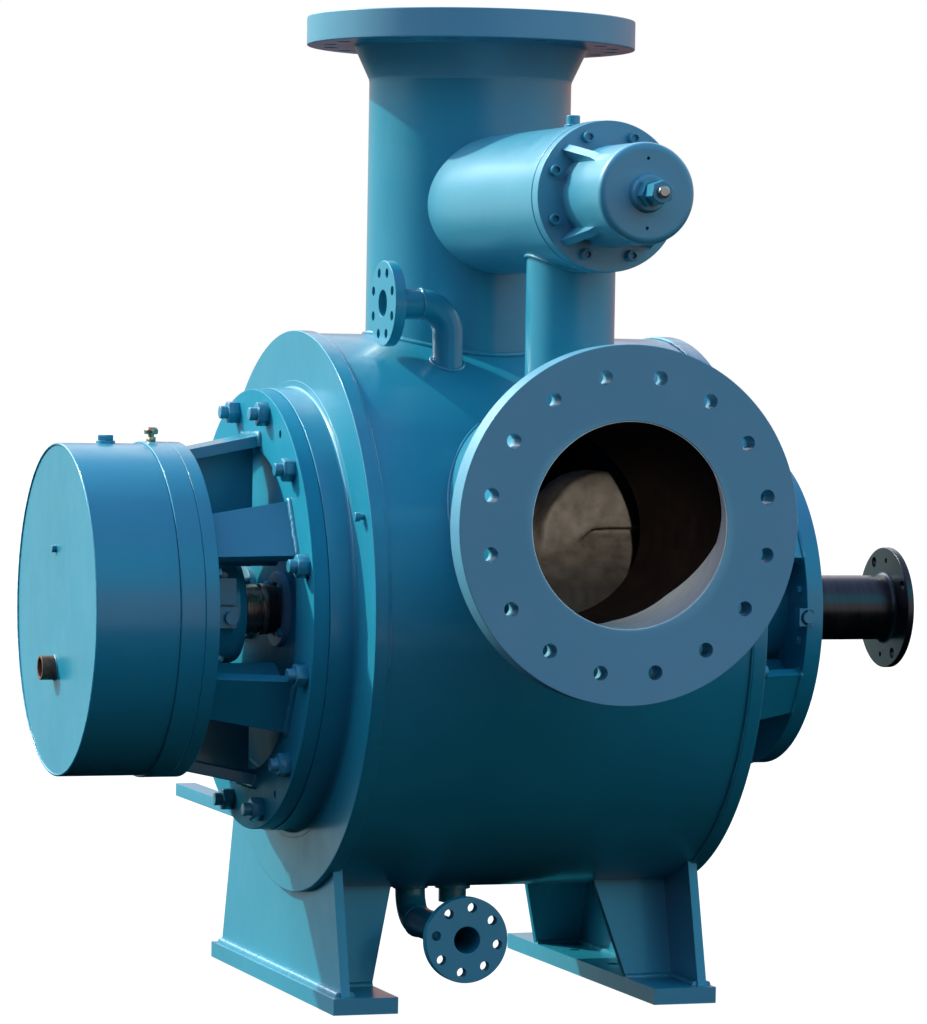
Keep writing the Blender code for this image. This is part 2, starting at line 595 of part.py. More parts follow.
def build_relief_valve(blue, steel):
    centre = (0, 0, VALVE_Z)
    flange_back = VALVE_END_Y + VALVE_FLANGE_THICK
    body = turned("relief_valve_body",
                  [(0, VALVE_END_Y), (VALVE_FLANGE_R, VALVE_END_Y),
                   (VALVE_FLANGE_R, flange_back), (VALVE_R, flange_back),
                   (VALVE_R, VALVE_REAR_Y), (0, VALVE_REAR_Y)],
                  "y", centre, blue, MEDIUM)
    boolean(body, rod_cutter("cut_body_at_suction", MAIN_PIPE_R + GAP, "z", (0, 0, 0),
                             VALVE_Z - VALVE_R - CLEAR, VALVE_Z + VALVE_R + CLEAR, LARGE))
    face = VALVE_END_Y - GAP
    back = VALVE_END_Y - BONNET_FLANGE_THICK
    rim = VALVE_FLANGE_R - 1
    bonnet = turned("relief_valve_bonnet",
                    [(0, BONNET_END_Y), (BONNET_R - BONNET_EDGE, BONNET_END_Y),
                     (BONNET_R - BONNET_EDGE / 3, BONNET_END_Y + BONNET_EDGE / 3),
                     (BONNET_R, BONNET_END_Y + BONNET_EDGE),
                     (BONNET_R, back), (rim, back), (rim, face), (0, face)],
                    "y", centre, blue, MEDIUM)
    for rib in range(BONNET_RIBS):
        angle = math.pi / 4 + 2 * math.pi * rib / BONNET_RIBS
        outline = [(back + along, radius) for radius, along in BONNET_RIB_PROFILE]
        bm = prism_mesh(outline, "x", -BONNET_RIB_HALF, BONNET_RIB_HALF)
        turn = Matrix.Translation(Vector(centre)) @ Matrix.Rotation(angle, 4, "Y")
        bmesh.ops.transform(bm, matrix=turn, verts=bm.verts)
        boolean(bonnet, make_object(f"join_bonnet_rib_{rib + 1}", bm, None), "UNION")
    collar = BONNET_END_Y - GAP
    nut = collar - SCREW_COLLAR
    nut_end = nut - LOCKNUT_LENGTH
    chamfer = 4.0
    turned("relief_adjusting_screw",
           [(0, SCREW_TIP_Y), (SCREW_R - chamfer, SCREW_TIP_Y), (SCREW_R, SCREW_TIP_Y + chamfer),
            (SCREW_R, nut_end), (LOCKNUT_R, nut_end), (LOCKNUT_R, nut),
            (SCREW_COLLAR_R, nut), (SCREW_COLLAR_R, collar), (0, collar)],
           "y", centre, steel, SMALL)
    pipe = rod_cutter("relief_down_pipe", DOWN_PIPE_R, "z", (0, DOWN_PIPE_Y, 0),
                      DISCHARGE_Z + DOWN_PIPE_R, VALVE_Z - DOWN_PIPE_R, MEDIUM)
    pipe.data.materials.append(blue)
    ends = DOWN_PIPE_Y - VALVE_FLANGE_R - CLEAR, DOWN_PIPE_Y + VALVE_FLANGE_R + CLEAR
    boolean(pipe, rod_cutter("cut_down_pipe_top", VALVE_R + GAP, "y", centre, *ends, MEDIUM))
    boolean(pipe, rod_cutter("cut_down_pipe_foot", MAIN_PIPE_R + GAP, "y",
                             (0, 0, DISCHARGE_Z), *ends, LARGE))


def elbow_path(start, corner, end):
    """Two straight runs that meet in an arc of ELBOW_R about their corner."""
    first = (start - corner).normalized()
    second = (end - corner).normalized()
    middle = corner + (first + second) * ELBOW_R
    path = [start]
    for step in range(6):
        angle = math.pi / 2 * step / 5
        path.append(middle - second * ELBOW_R * math.cos(angle) - first * ELBOW_R * math.sin(angle))
    path.append(end)
    return path


def build_small_lines(blue, trim):
    """The vent and drain lines: a two inch elbow and an eight-hole flange each."""
    vent_corner = Vector((VENT_LEG_X, VENT_FACE.y, VENT_FACE.z))
    vent_foot = Vector((VENT_LEG_X, VENT_FACE.y, VENT_FACE.z - 1.5 * SMALL_LINE_REACH))
    drain_corner = Vector((DRAIN_FACE.x, DRAIN_LEG_Y, DRAIN_FACE.z))
    drain_top = drain_corner + Vector((0, 0, SMALL_LINE_REACH))
    lines = {
        "vent": ("x", VENT_FACE, Vector((1, 0, 0)), vent_corner, vent_foot, VENT_START),
        "drain": ("y", DRAIN_FACE, Vector((0, 1, 0)), drain_corner, drain_top, DRAIN_START),
    }
    for name, (axis, face, inward, corner, end, first_hole) in lines.items():
        flange = turned(f"{name}_flange",
                        [(SMALL_BORE_R, 0), (SMALL_FLANGE_R, 0),
                         (SMALL_FLANGE_R, SMALL_FLANGE_THICK), (SMALL_BORE_R, SMALL_FLANGE_THICK)],
                        axis, face, blue, MEDIUM)
        boolean(flange, hole_cutter(f"cut_{name}_holes", SMALL_HOLE_R, SMALL_PCR, SMALL_HOLES,
                                    axis, face, -CLEAR, SMALL_FLANGE_THICK + CLEAR, first_hole))
        start = face + inward * (SMALL_FLANGE_THICK + GAP)
        path = elbow_path(start, corner, end)
        pipe = make_object(f"{name}_pipe",
                           tube_mesh(path, SMALL_PIPE_R, SMALL_BORE_R, SMALL), blue)
        boolean(pipe, trim)
    boss = turned("drain_boss", DRAIN_BOSS_PROFILE, "z", (DRAIN_BOSS_X, 0, 0), blue, SMALL)
    boolean(boss, trim)


def gusset_mesh(side, place):
    """A plate square to the web: it leans with the web's edge and widens under the barrel."""
    inward = 1 if side == "left" else -1
    web_face = WEB_X[side] + (WEB_THICK if side == "left" else 0) - inward * WELD_BITE
    edge = PLATE_X[side] + (PLATE_WIDTH if side == "left" else 0) - inward * WELD_BITE
    lean = 1 if place == "front" else -1
    low, high = PLATE_THICK + GAP, GUSSET_TOP_Z
    sections = []
    for z in (low, high):
        rise = z - low
        middle = GUSSET_Y[place] + lean * EDGE_SLOPE * rise
        free = edge + inward * GUSSET_WIDEN * rise
        near, far = middle - GUSSET_THICK / 2, middle + GUSSET_THICK / 2
        sections.append([Vector((web_face, near, z)), Vector((free, near, z)),
                         Vector((free, far, z)), Vector((web_face, far, z))])
    return loft_mesh(sections)


def build_feet(blue, trim):
    foot_z, top_z = PLATE_THICK + GAP, WEB_TOP_Z - GAP
    lean = EDGE_SLOPE * (top_z - foot_z)
    for side in ("left", "right"):
        low, web_low = PLATE_X[side], WEB_X[side]
        high, web_high = low + PLATE_WIDTH, web_low + WEB_THICK
        plate = make_object(f"base_plate_{side}",
                            prism_mesh([(PLATE_FRONT_Y, 0), (PLATE_REAR_Y, 0),
                                        (PLATE_REAR_Y, PLATE_THICK), (PLATE_FRONT_Y, PLATE_THICK)],
                                       "x", low, high), blue, smooth=False)
        anchor_x = high - ANCHOR_INSET if side == "left" else low + ANCHOR_INSET
        for index, place in enumerate(ANCHOR_Y):
            boolean(plate, rod_cutter(f"cut_anchor_{side}_{index + 1}", ANCHOR_R, "z",
                                      (anchor_x, place, 0), -CLEAR, PLATE_THICK + CLEAR, HOLE))
        foot = make_object(f"foot_{side}",
                           prism_mesh([(WEB_FRONT_Y, foot_z), (WEB_REAR_Y, foot_z),
                                       (WEB_REAR_Y - lean, top_z), (WEB_FRONT_Y + lean, top_z)],
                                      "x", web_low, web_high), blue, smooth=False)
        for place in GUSSET_Y:
            gusset = make_object(f"join_gusset_{side}_{place}", gusset_mesh(side, place), None,
                                 smooth=False)
            boolean(foot, gusset, "UNION")
        boolean(foot, trim)
        bar_low = web_low if side == "left" else web_high - BAR_WIDTH
        bar = make_object(f"rear_bar_{side}",
                          prism_mesh([(BAR_FRONT_Y, WEB_TOP_Z), (BAR_REAR_Y, WEB_TOP_Z),
                                      (BAR_REAR_Y, WEB_TOP_Z + BAR_THICK),
                                      (BAR_FRONT_Y, WEB_TOP_Z + BAR_THICK)],
                                     "x", bar_low, bar_low + BAR_WIDTH), blue, smooth=False)
        boolean(bar, trim)


clear_scene()
FRAME = bpy.data.objects.new("pump_frame", None)
bpy.context.collection.objects.link(FRAME)
FRAME.location = Vector((-MIDDLE_X, -MIDDLE_Y, 0)) * MM

blue_paint = paint("blue_paint", (0.045, 0.19, 0.30), 0.3, 0.0)
black_paint = paint("black_paint", (0.02, 0.02, 0.025), 0.35, 0.0)
bare_steel = paint("bare_steel", (0.45, 0.44, 0.42), 0.35, 1.0)
rough_cast = paint("rough_cast", (0.14, 0.12, 0.10), 0.8, 0.3)

envelope = casing_envelope()
build_casing(blue_paint)
build_screw_housing(rough_cast)
for end in ("left", "right"):
    build_cover(end, blue_paint)
    build_arms(end, blue_paint)
build_bearings(blue_paint)
build_gear_case(blue_paint)
build_rotors(bare_steel, black_paint)
build_suction(blue_paint, envelope)
build_discharge(blue_paint, envelope)
build_relief_valve(blue_paint, bare_steel)
build_small_lines(blue_paint, envelope)
build_feet(blue_paint, envelope)
envelope.hide_render = True
envelope.display_type = "WIRE"
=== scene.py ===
"""Looks of the twin screw pump: its enamelled casing and branches, the two lanterns with
their seals, the gear case, the relief valve and the black drive coupling."""

import math

import bmesh
import bpy
from mathutils import Euler, Matrix, Vector, noise


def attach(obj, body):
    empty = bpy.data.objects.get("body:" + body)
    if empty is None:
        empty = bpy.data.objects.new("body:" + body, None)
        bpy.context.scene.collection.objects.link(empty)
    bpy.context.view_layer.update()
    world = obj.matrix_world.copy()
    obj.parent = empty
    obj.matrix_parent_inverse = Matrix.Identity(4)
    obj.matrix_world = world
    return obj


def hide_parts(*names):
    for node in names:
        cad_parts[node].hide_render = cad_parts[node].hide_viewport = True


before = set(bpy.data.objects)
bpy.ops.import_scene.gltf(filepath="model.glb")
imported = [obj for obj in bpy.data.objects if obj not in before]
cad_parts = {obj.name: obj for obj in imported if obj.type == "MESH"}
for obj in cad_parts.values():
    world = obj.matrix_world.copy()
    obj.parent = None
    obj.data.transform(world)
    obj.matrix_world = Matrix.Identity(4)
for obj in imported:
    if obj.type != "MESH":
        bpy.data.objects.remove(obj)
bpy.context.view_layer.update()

# Casing barrel. Rolled and welded 16 mm plate in blue enamel, with ports for the two
# branches, the vent and the drain. Sizes are millimetres of the pump's own frame, with
# X along the shafts and Z up, and PUMP_MIDDLE is the point that lies over the origin.
MM = 0.001
PUMP_MIDDLE = Vector((25.5, -90.5, 0.0))
TURN = {
    "x": Matrix(((0, 0, 1), (1, 0, 0), (0, 1, 0))),
    "y": Matrix(((0, 1, 0), (0, 0, 1), (1, 0, 0))),
    "z": Matrix(((1, 0, 0), (0, 1, 0), (0, 0, 1))),
}
AXIS_Z, CASING_Z, SHAFT_Z, SHAFT_Y = 765.0, 761.0, 771.5, 115.0
COVER_AXIS, CASING_AXIS = (0, 0, AXIS_Z), (0, 0, CASING_Z)
BARREL_R, BARREL_LEFT, BARREL_RIGHT, PLATE_WALL = 554.0, -336.0, 409.0, 16.0
MAIN_R, MAIN_BORE = 203.2, 190.5
SMALL_R, SMALL_BORE = 30.15, 26.2
DISCHARGE_Z = 970.5
VENT = Vector((-120.0, -238.0, 1374.0))
DRAIN = Vector((-110.0, -30.0, 144.0))
CORNER_STEPS, ROUND, FINE, FINEST, SHARP_DEGREES = 3, 96, 144, 192, 38


def soften(outline, bevel, closed):
    """Round the corners of a (radius, along[, own bevel]) outline with short arcs."""
    points = [Vector(point[:2]) for point in outline]
    rounded = []
    for index, point in enumerate(points):
        own = outline[index][2] if len(outline[index]) > 2 else bevel
        if own == 0 or (not closed and index in (0, len(points) - 1)):
            rounded.append(point)
            continue
        back = points[index - 1] - point
        ahead = points[(index + 1) % len(points)] - point
        bend = math.pi - back.angle(ahead)
        if bend < 0.2:
            rounded.append(point)
            continue
        reach = min(own * math.tan(bend / 2), 0.45 * back.length, 0.45 * ahead.length)
        start = point + back.normalized() * reach
        end = point + ahead.normalized() * reach
        steps = CORNER_STEPS if own < 8 else 2 * CORNER_STEPS
        for step in range(steps + 1):
            t = step / steps
            rounded.append(start * (1 - t) ** 2 + point * 2 * t * (1 - t) + end * t * t)
    return rounded


def strips(bm, rings):
    """Faces from each ring of points to the next."""
    for first, second in zip(rings, rings[1:]):
        for step in range(len(first)):
            after = (step + 1) % len(first)
            bm.faces.new([first[step], first[after], second[after], second[step]])


def around(radius, count):
    """The corners of a regular outline about 0, as pairs of numbers."""
    return [(radius * math.cos(2 * math.pi * step / count),
             radius * math.sin(2 * math.pi * step / count)) for step in range(count)]


def circle(radius, axis, centre, along, count=ROUND):
    """Points of a circle square to an axis."""
    return [TURN[axis] @ Vector((*corner, along)) + Vector(centre)
            for corner in around(radius, count)]


def turned(outline, axis, centre, sides=FINE, bevel=1.5):
    """Turn an outline about an axis; one that starts at radius 0 becomes a solid."""
    bm = bmesh.new()
    solid = outline[0][0] == 0
    points = soften(outline, bevel, not solid)
    if solid:
        points = points[1:-1]
    rings = [[bm.verts.new(point) for point in circle(radius, axis, centre, along, sides)]
             for radius, along in points]
    strips(bm, rings if solid else rings + rings[:1])
    if solid:
        bm.faces.new(rings[0])
        bm.faces.new(list(reversed(rings[-1])))
    return bm


def rod(radius, axis, centre, low, high, sides=48):
    return turned([(0, low), (radius, low, 0), (radius, high, 0), (0, high)], axis, centre, sides)


def hole_circle(radius, pitch_radius, count, axis, centre, low, high, start, sides=32):
    """A circle of drills for a flange, as one mesh of rods that don't touch."""
    bm = bmesh.new()
    for hole in range(count):
        angle = math.radians(start + 360.0 * hole / count)
        aside = TURN[axis] @ Vector((pitch_radius * math.cos(angle),
                                     pitch_radius * math.sin(angle), 0))
        add_to(bm, rod(radius, axis, Vector(centre) + aside, low, high, sides))
    return bm


def add_to(bm, other):
    scratch = bpy.data.meshes.new("scratch")
    other.to_mesh(scratch)
    other.free()
    bm.from_mesh(scratch)
    bpy.data.meshes.remove(scratch)


def placed(name, content):
    """A new object for a mesh, a light or the camera, put in the scene."""
    obj = bpy.data.objects.new(name, content)
    bpy.context.collection.objects.link(obj)
    return obj


def raw(name, bm, middle=PUMP_MIDDLE):
    """A bmesh in millimetres as an object in metres about its middle."""
    bmesh.ops.translate(bm, vec=-middle, verts=bm.verts)
    bmesh.ops.scale(bm, vec=(MM, MM, MM), verts=bm.verts)
    bmesh.ops.recalc_face_normals(bm, faces=bm.faces)
    mesh = bpy.data.meshes.new(name)
    bm.to_mesh(mesh)
    bm.free()
    return placed(name, mesh)


def use_up(obj):
    """Turn the object's modifiers into plain mesh."""
    depsgraph = bpy.context.evaluated_depsgraph_get()
    mesh = bpy.data.meshes.new_from_object(obj.evaluated_get(depsgraph),
                                           preserve_all_data_layers=True, depsgraph=depsgraph)
    obj.modifiers.clear()
    obj.data = mesh


def hand_over(obj, paint, body, nodes=()):
    if paint:
        obj.data.materials.clear()
        obj.data.materials.append(paint)
    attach(obj, body)
    if nodes:
        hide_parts(*nodes)
    return obj


def with_tool(obj, tool, operation, solver="EXACT"):
    """Add a Boolean with a tool to an object's modifiers."""
    modifier = obj.modifiers.new(operation.lower(), "BOOLEAN")
    modifier.operation = operation
    modifier.solver = solver
    modifier.object = tool
    return tool


def ease_edges(obj, width, segments, degrees):
    """Bevel an object's sharp edges; width is millimetres."""
    modifier = obj.modifiers.new("ease", "BEVEL")
    modifier.width = width * MM
    modifier.segments = segments
    modifier.limit_method = "ANGLE"
    modifier.angle_limit = math.radians(degrees)


def shade(obj, degrees):
    obj.data.shade_smooth()
    obj.data.set_sharp_from_angle(angle=math.radians(degrees))


def piece(name, bm, paint, nodes=(), cuts=(), joins=(), bevel=0.0, body="pump_body"):
    """Join, drill and ease one solid, shade its flats flat, and hand it to its body."""
    obj = raw(name, bm)
    tools = [with_tool(obj, raw(f"{name}_tool", mesh), operation)
             for operation, meshes in (("UNION", joins), ("DIFFERENCE", cuts))
             for mesh in meshes]
    if bevel:
        ease_edges(obj, bevel, 2, 40)
    if obj.modifiers:
        use_up(obj)
    shade(obj, SHARP_DEGREES)
    flats = obj.modifiers.new("flats", "WEIGHTED_NORMAL")
    flats.keep_sharp = True
    use_up(obj)
    for tool in tools:
        bpy.data.objects.remove(tool)
    return hand_over(obj, paint, body, nodes)


def add_node(tree, kind, inputs=None, **settings):
    """Add a node with its settings; each input takes a value or another node's socket."""
    node = tree.nodes.new(kind)
    for setting, value in settings.items():
        setattr(node, setting, value)
    for socket, value in (inputs or {}).items():
        if isinstance(value, bpy.types.NodeSocket):
            tree.links.new(value, node.inputs[socket])
        else:
            node.inputs[socket].default_value = value
    return node


def surface(material):
    return material.node_tree.nodes["Principled BSDF"].inputs


def new_finish(name):
    """A material, its node tree and the place on the object that its patterns follow."""
    material = bpy.data.materials.new(name)
    material.use_nodes = True
    place = add_node(material.node_tree, "ShaderNodeTexCoord").outputs["Object"]
    return material, material.node_tree, place


def two_tones(tree, grain, first, second, edge):
    """Two colours that meet over a band of the grain; edge is where the band starts."""
    ramp = add_node(tree, "ShaderNodeValToRGB", {"Fac": grain})
    for element, position, colour in zip(ramp.color_ramp.elements, (edge, 1.0 - edge),
                                         (first, second)):
        element.position = position
        element.color = (*colour, 1.0)
    return ramp.outputs["Color"]


def dulling(tree, grain, low, high):
    return add_node(tree, "ShaderNodeMapRange",
                    {"Value": grain, "From Min": 0.3, "From Max": 0.7, "To Min": low,
                     "To Max": high}).outputs["Result"]


def bump(tree, grain, strength, distance, under=None):
    node = add_node(tree, "ShaderNodeBump",
                    {"Height": grain, "Strength": strength, "Distance": distance})
    if under:
        tree.links.new(under, node.inputs["Normal"])
    return node.outputs["Normal"]


def enamel(name, deep, light, roughness, coat, peel, lumps):
    """Sprayed two-pack enamel: slow drift of colour, dull patches, orange peel, plate lumps."""
    material, tree, place = new_finish(name)
    drift, patch, fine, broad = (
        add_node(tree, "ShaderNodeTexNoise",
                 {"Scale": scale, "Detail": detail, "Vector": place}).outputs["Fac"]
        for scale, detail in ((2.2, 4.0), (17.0, 6.0), (420.0, 2.0), (9.0, 3.0)))
    shader = surface(material)
    shader["Coat Weight"].default_value = coat
    shader["Coat Roughness"].default_value = 0.12
    tree.links.new(two_tones(tree, drift, deep, light, 0.35), shader["Base Color"])
    tree.links.new(dulling(tree, patch, roughness - 0.05, roughness + 0.07), shader["Roughness"])
    relief = bump(tree, broad, lumps, 0.004, bump(tree, fine, peel, 0.0004))
    tree.links.new(relief, shader["Normal"])
    return material


plate_blue = enamel("plate_blue_enamel", (0.014, 0.265, 0.375), (0.020, 0.305, 0.430),
                    0.34, 0.35, 0.18, 0.10)
face_blue = enamel("face_blue_enamel", (0.120, 0.360, 0.475), (0.135, 0.380, 0.500),
                   0.42, 0.15, 0.12, 0.03)
# A shaded copy of the plate enamel for the covers: the same colours with no coat and little
# specular, so they stay dark, as painted shade.
shaded_blue = enamel("shaded_blue_enamel", (0.014, 0.265, 0.375), (0.020, 0.305, 0.430),
                     0.45, 0.0, 0.18, 0.10)
surface(shaded_blue)["Specular IOR Level"].default_value = 0.12
drill_near, drill_far = BARREL_R / 2, BARREL_R + 60
piece("casing_barrel_shell",
      turned([(BARREL_R, BARREL_LEFT), (BARREL_R, BARREL_RIGHT),
              (BARREL_R - PLATE_WALL, BARREL_RIGHT), (BARREL_R - PLATE_WALL, BARREL_LEFT)],
             "x", CASING_AXIS, FINEST),
      plate_blue, [f"casing_barrel_{place}" for place in ("left", "right", "front", "rear")],
      cuts=[rod(MAIN_BORE, "z", CASING_AXIS, drill_near, drill_far, 96),
            rod(MAIN_BORE, "y", (0, 0, DISCHARGE_Z), -drill_far, -drill_near, 96),
            rod(SMALL_BORE, "z", (VENT.x, VENT.y, CASING_Z), drill_near, drill_far),
            rod(SMALL_BORE, "z", (DRAIN.x, DRAIN.y, CASING_Z), -drill_far, -drill_near)])

# Casing end rings. A 28 mm ring is welded on each end of the barrel. The left one
# carries a thick turned seat for its cover, with a generous fillet under it.
END_R, END_THICK, BORE_R = 559.0, 28.0, 330.0
END_FACE = {"left": -362.0, "right": 435.0}
SEAT_R, SEAT_LEFT_X = 440.0, -414.0
END_CHAMFER = 2.0
INWARD = {"left": 1, "right": -1}
for side, face in END_FACE.items():
    back = face + INWARD[side] * END_THICK
    ring = turned([(BORE_R, face), (END_R, face, END_CHAMFER), (END_R, back, END_CHAMFER),
                   (BORE_R, back)], "x", CASING_AXIS, FINEST)
    if side == "left":
        middle = (face + back) / 2
        add_to(ring, turned([(BORE_R, middle), (SEAT_R + 16, middle), (SEAT_R + 16, face - 0.5),
                             (SEAT_R, face - 0.5, 14), (SEAT_R, SEAT_LEFT_X, 1.5),
                             (BORE_R, SEAT_LEFT_X)], "x", COVER_AXIS, FINEST))
    piece(f"casing_end_ring_{side}", ring, plate_blue, [f"casing_end_{side}"])

# Weld beads. Hand-laid fillets of solid wire under the enamel, rippled every few
# millimetres, swept along each seam by one Geometry Nodes tree.
BEAD_STEP, BEAD_SIDES, RIPPLE_SCALE = 0.004, 8, 260.0


def new_tree(name, sockets):
    tree = bpy.data.node_groups.new(name, "GeometryNodeTree")
    tree.interface.new_socket(name="Geometry", in_out="OUTPUT", socket_type="NodeSocketGeometry")
    for socket, kind in sockets.items():
        tree.interface.new_socket(name=socket, in_out="INPUT", socket_type=f"NodeSocket{kind}")
    return tree, tree.nodes.new("NodeGroupInput").outputs


def paint_and_end(tree, geometry, paint):
    """Close a tree: its geometry gets its paint and goes out."""
    painted = add_node(tree, "GeometryNodeSetMaterial", {"Geometry": geometry, "Material": paint})
    add_node(tree, "NodeGroupOutput", {"Geometry": painted.outputs["Geometry"]})
    return tree


def grow(name, start, tree, values):
    """Run a tree over a start mesh with its inputs set, and keep the plain result."""
    obj = placed(name, start)
    modifier = obj.modifiers.new("grow", "NODES")
    modifier.node_group = tree
    for item in tree.interface.items_tree:
        if item.in_out == "INPUT" and item.name in values:
            modifier[item.identifier] = values[item.name]
    use_up(obj)
    return obj


def bead_tree():
    tree, inputs = new_tree("weld_bead", {"Seam": "Geometry", "Bead Radius": "Float",
                                          "Ripple": "Float", "Paint": "Material"})
    curve = add_node(tree, "GeometryNodeMeshToCurve", {"Mesh": inputs["Seam"]})
    steps = add_node(tree, "GeometryNodeResampleCurve",
                     {"Curve": curve.outputs["Curve"], "Length": BEAD_STEP}, mode="LENGTH")
    section = add_node(tree, "GeometryNodeCurvePrimitiveCircle",
                       {"Resolution": BEAD_SIDES, "Radius": inputs["Bead Radius"]})
    sweep = add_node(tree, "GeometryNodeCurveToMesh",
                     {"Curve": steps.outputs["Curve"], "Fill Caps": True,
                      "Profile Curve": section.outputs["Curve"]})
    grain = add_node(tree, "ShaderNodeTexNoise", {"Scale": RIPPLE_SCALE, "Detail": 1.0})
    centred = add_node(tree, "ShaderNodeMath", {0: grain.outputs["Fac"], 1: 0.5},
                       operation="SUBTRACT")
    ripple = add_node(tree, "ShaderNodeMath",
                      {0: centred.outputs["Value"], 1: inputs["Ripple"]}, operation="MULTIPLY")
    normal = add_node(tree, "GeometryNodeInputNormal")
    shift = add_node(tree, "ShaderNodeVectorMath",
                     {0: normal.outputs["Normal"], "Scale": ripple.outputs["Value"]},
                     operation="SCALE")
    move = add_node(tree, "GeometryNodeSetPosition",
                    {"Geometry": sweep.outputs["Mesh"], "Offset": shift.outputs["Vector"]})
    smooth = add_node(tree, "GeometryNodeSetShadeSmooth", {"Geometry": move.outputs["Geometry"]})
    return paint_and_end(tree, smooth.outputs["Geometry"], inputs["Paint"])


def seam_mesh(name, seams):
    """Seams as edges: each is (points in pump millimetres, closed)."""
    mesh = bpy.data.meshes.new(name)
    points, edges = [], []
    for seam, closed in seams:
        first = len(points)
        points += [(Vector(point) - PUMP_MIDDLE) * MM for point in seam]
        edges += [(first + step, first + step + 1) for step in range(len(seam) - 1)]
        if closed:
            edges.append((len(points) - 1, first))
    mesh.from_pydata(points, edges, [])
    return mesh


def weld(name, seams, radius, ripple):
    """A bead along each seam; radius and ripple are millimetres."""
    obj = grow(name, seam_mesh(name, seams), WELD_BEAD,
               {"Bead Radius": radius * MM, "Ripple": ripple * MM, "Paint": weld_blue})
    return hand_over(obj, None, "pump_body")


def saddle(radius, x, y, sign=1, out=0.0):
    """Where an upright pipe at x, y meets the barrel, on its top or underside."""
    points = []
    for right, back in around(radius, ROUND):
        rise = math.sqrt((BARREL_R + out) ** 2 - (y + back) ** 2)
        points.append(Vector((x + right, y + back, CASING_Z + sign * rise)))
    return points


def front_saddle(radius, out):
    """Where the discharge neck meets the barrel's front."""
    points = []
    for right, up in around(radius, ROUND):
        reach = math.sqrt((BARREL_R + out) ** 2 - (DISCHARGE_Z + up - CASING_Z) ** 2)
        points.append(Vector((right, -reach, DISCHARGE_Z + up)))
    return points


WELD_BEAD = bead_tree()
weld_blue = enamel("weld_blue_enamel", (0.018, 0.270, 0.380), (0.040, 0.330, 0.450),
                   0.28, 0.6, 0.3, 0.2)
weld("casing_seam_welds",
     [(circle(BARREL_R + 2, "x", CASING_AXIS, END_FACE["left"] + END_THICK + 1.5), True),
      (circle(BARREL_R + 2, "x", CASING_AXIS, END_FACE["right"] - END_THICK - 1.5), True)],
     2.6, 0.5)

# Covers. Turned plates with a recess round the two shaft seals, held by twelve studs
# and heavy hexagon nuts each. Tapped holes between the nuts take the jacking screws.
COVER_R, RECESS_R, RECESS, DISC_THICK = 437.0, 318.0, 30.0, 28.0
COVER_FACE = {"left": -446.0, "right": 467.0}
COVER_SEAT = {"left": -414.3, "right": 435.3}
SHAFT_BORE, DRILL_PAST, JACK_DEPTH = 46.0, 50.0, 14.0
JACK_ANGLES, JACK_CIRCLE_R, JACK_R = (119.1, 167.9, 240.9, 348.0), 402.0, 8.0


def shaft_bores(low, high, radius=SHAFT_BORE):
    """A drill for each shaft that starts before low and ends after high."""
    return [rod(radius, "x", (0, y, SHAFT_Z), low - DRILL_PAST, high + DRILL_PAST)
            for y in (-SHAFT_Y, SHAFT_Y)]


for side, face in COVER_FACE.items():
    recess_x = face + INWARD[side] * RECESS
    back = recess_x + INWARD[side] * DISC_THICK
    jack_low, jack_high = sorted((face - INWARD[side] * 20, face + INWARD[side] * JACK_DEPTH))
    jacks = bmesh.new()
    for angle in JACK_ANGLES:
        turn = math.radians(angle)
        centre = (0, JACK_CIRCLE_R * math.cos(turn), AXIS_Z + JACK_CIRCLE_R * math.sin(turn))
        add_to(jacks, rod(JACK_R, "x", centre, jack_low, jack_high, 20))
    piece(f"cover_{side}_plate",
          turned([(0, back), (BORE_R - 0.3, back), (BORE_R - 0.3, COVER_SEAT[side], 0),
                  (COVER_R, COVER_SEAT[side], 1.5), (COVER_R, face, 2.2),
                  (RECESS_R, face, 3), (RECESS_R, recess_x, 5), (0, recess_x)],
                 "x", COVER_AXIS),
          # The covers take the shaded copy of the plate enamel: painted shade.
          shaded_blue, [f"cover_{side}"],
          cuts=[*shaft_bores(*sorted((face, back))), jacks])

# Cover nuts and studs. M27 hexagons, chamfered round at their tops, each on a stud that
# stands 15 mm proud of it. One tree sets any circle of fasteners, and turns each to its
# own angle.
NUT_FLATS, NUT_HIGH, STUD_R, STUD_HIGH = 41.0, 23.0, 13.0, 38.0
NUT_CIRCLE_R, NUT_COUNT, NUT_START, CHAMFER_SLOPE = 402.6, 12, 15.0, 0.5


def box_between(sections):
    """A solid with flat ends through sections of four or more corners."""
    bm = bmesh.new()
    rings = [[bm.verts.new(point) for point in section] for section in sections]
    strips(bm, rings)
    bm.faces.new(rings[0])
    bm.faces.new(list(reversed(rings[-1])))
    return bm


def hexagon(across, low, high):
    """A hexagon head or nut along Z, chamfered round at its top and about its own middle."""
    corner, flat = across / math.sqrt(3), across / 2 - 0.4
    obj = raw("hexagon", box_between([circle(corner, "z", (0, 0, 0), level, 6)
                                      for level in (low, high)]), Vector())
    reach = corner + 12
    cone = raw("cone", turned([(0, low - 20), (reach, low - 20),
                               (reach, high - (reach - flat) * CHAMFER_SLOPE), (flat, high),
                               (0, high)],
                              "z", (0, 0, 0), 48, 0), Vector())
    with_tool(obj, cone, "INTERSECT")
    use_up(obj)
    bpy.data.objects.remove(cone)
    ease_edges(obj, 0.6, 1, 35)
    use_up(obj)
    return obj


def with_spindle(obj, outline, sides=24):
    """Add a turned stud, screw or socket to a fastener made along Z."""
    spindle = raw("spindle", turned(outline, "z", (0, 0, 0), sides, 1.0), Vector())
    bm = bmesh.new()
    bm.from_mesh(spindle.data)
    bm.from_mesh(obj.data)
    bm.to_mesh(obj.data)
    bm.free()
    bpy.data.objects.remove(spindle)
    shade(obj, 35)
    return obj


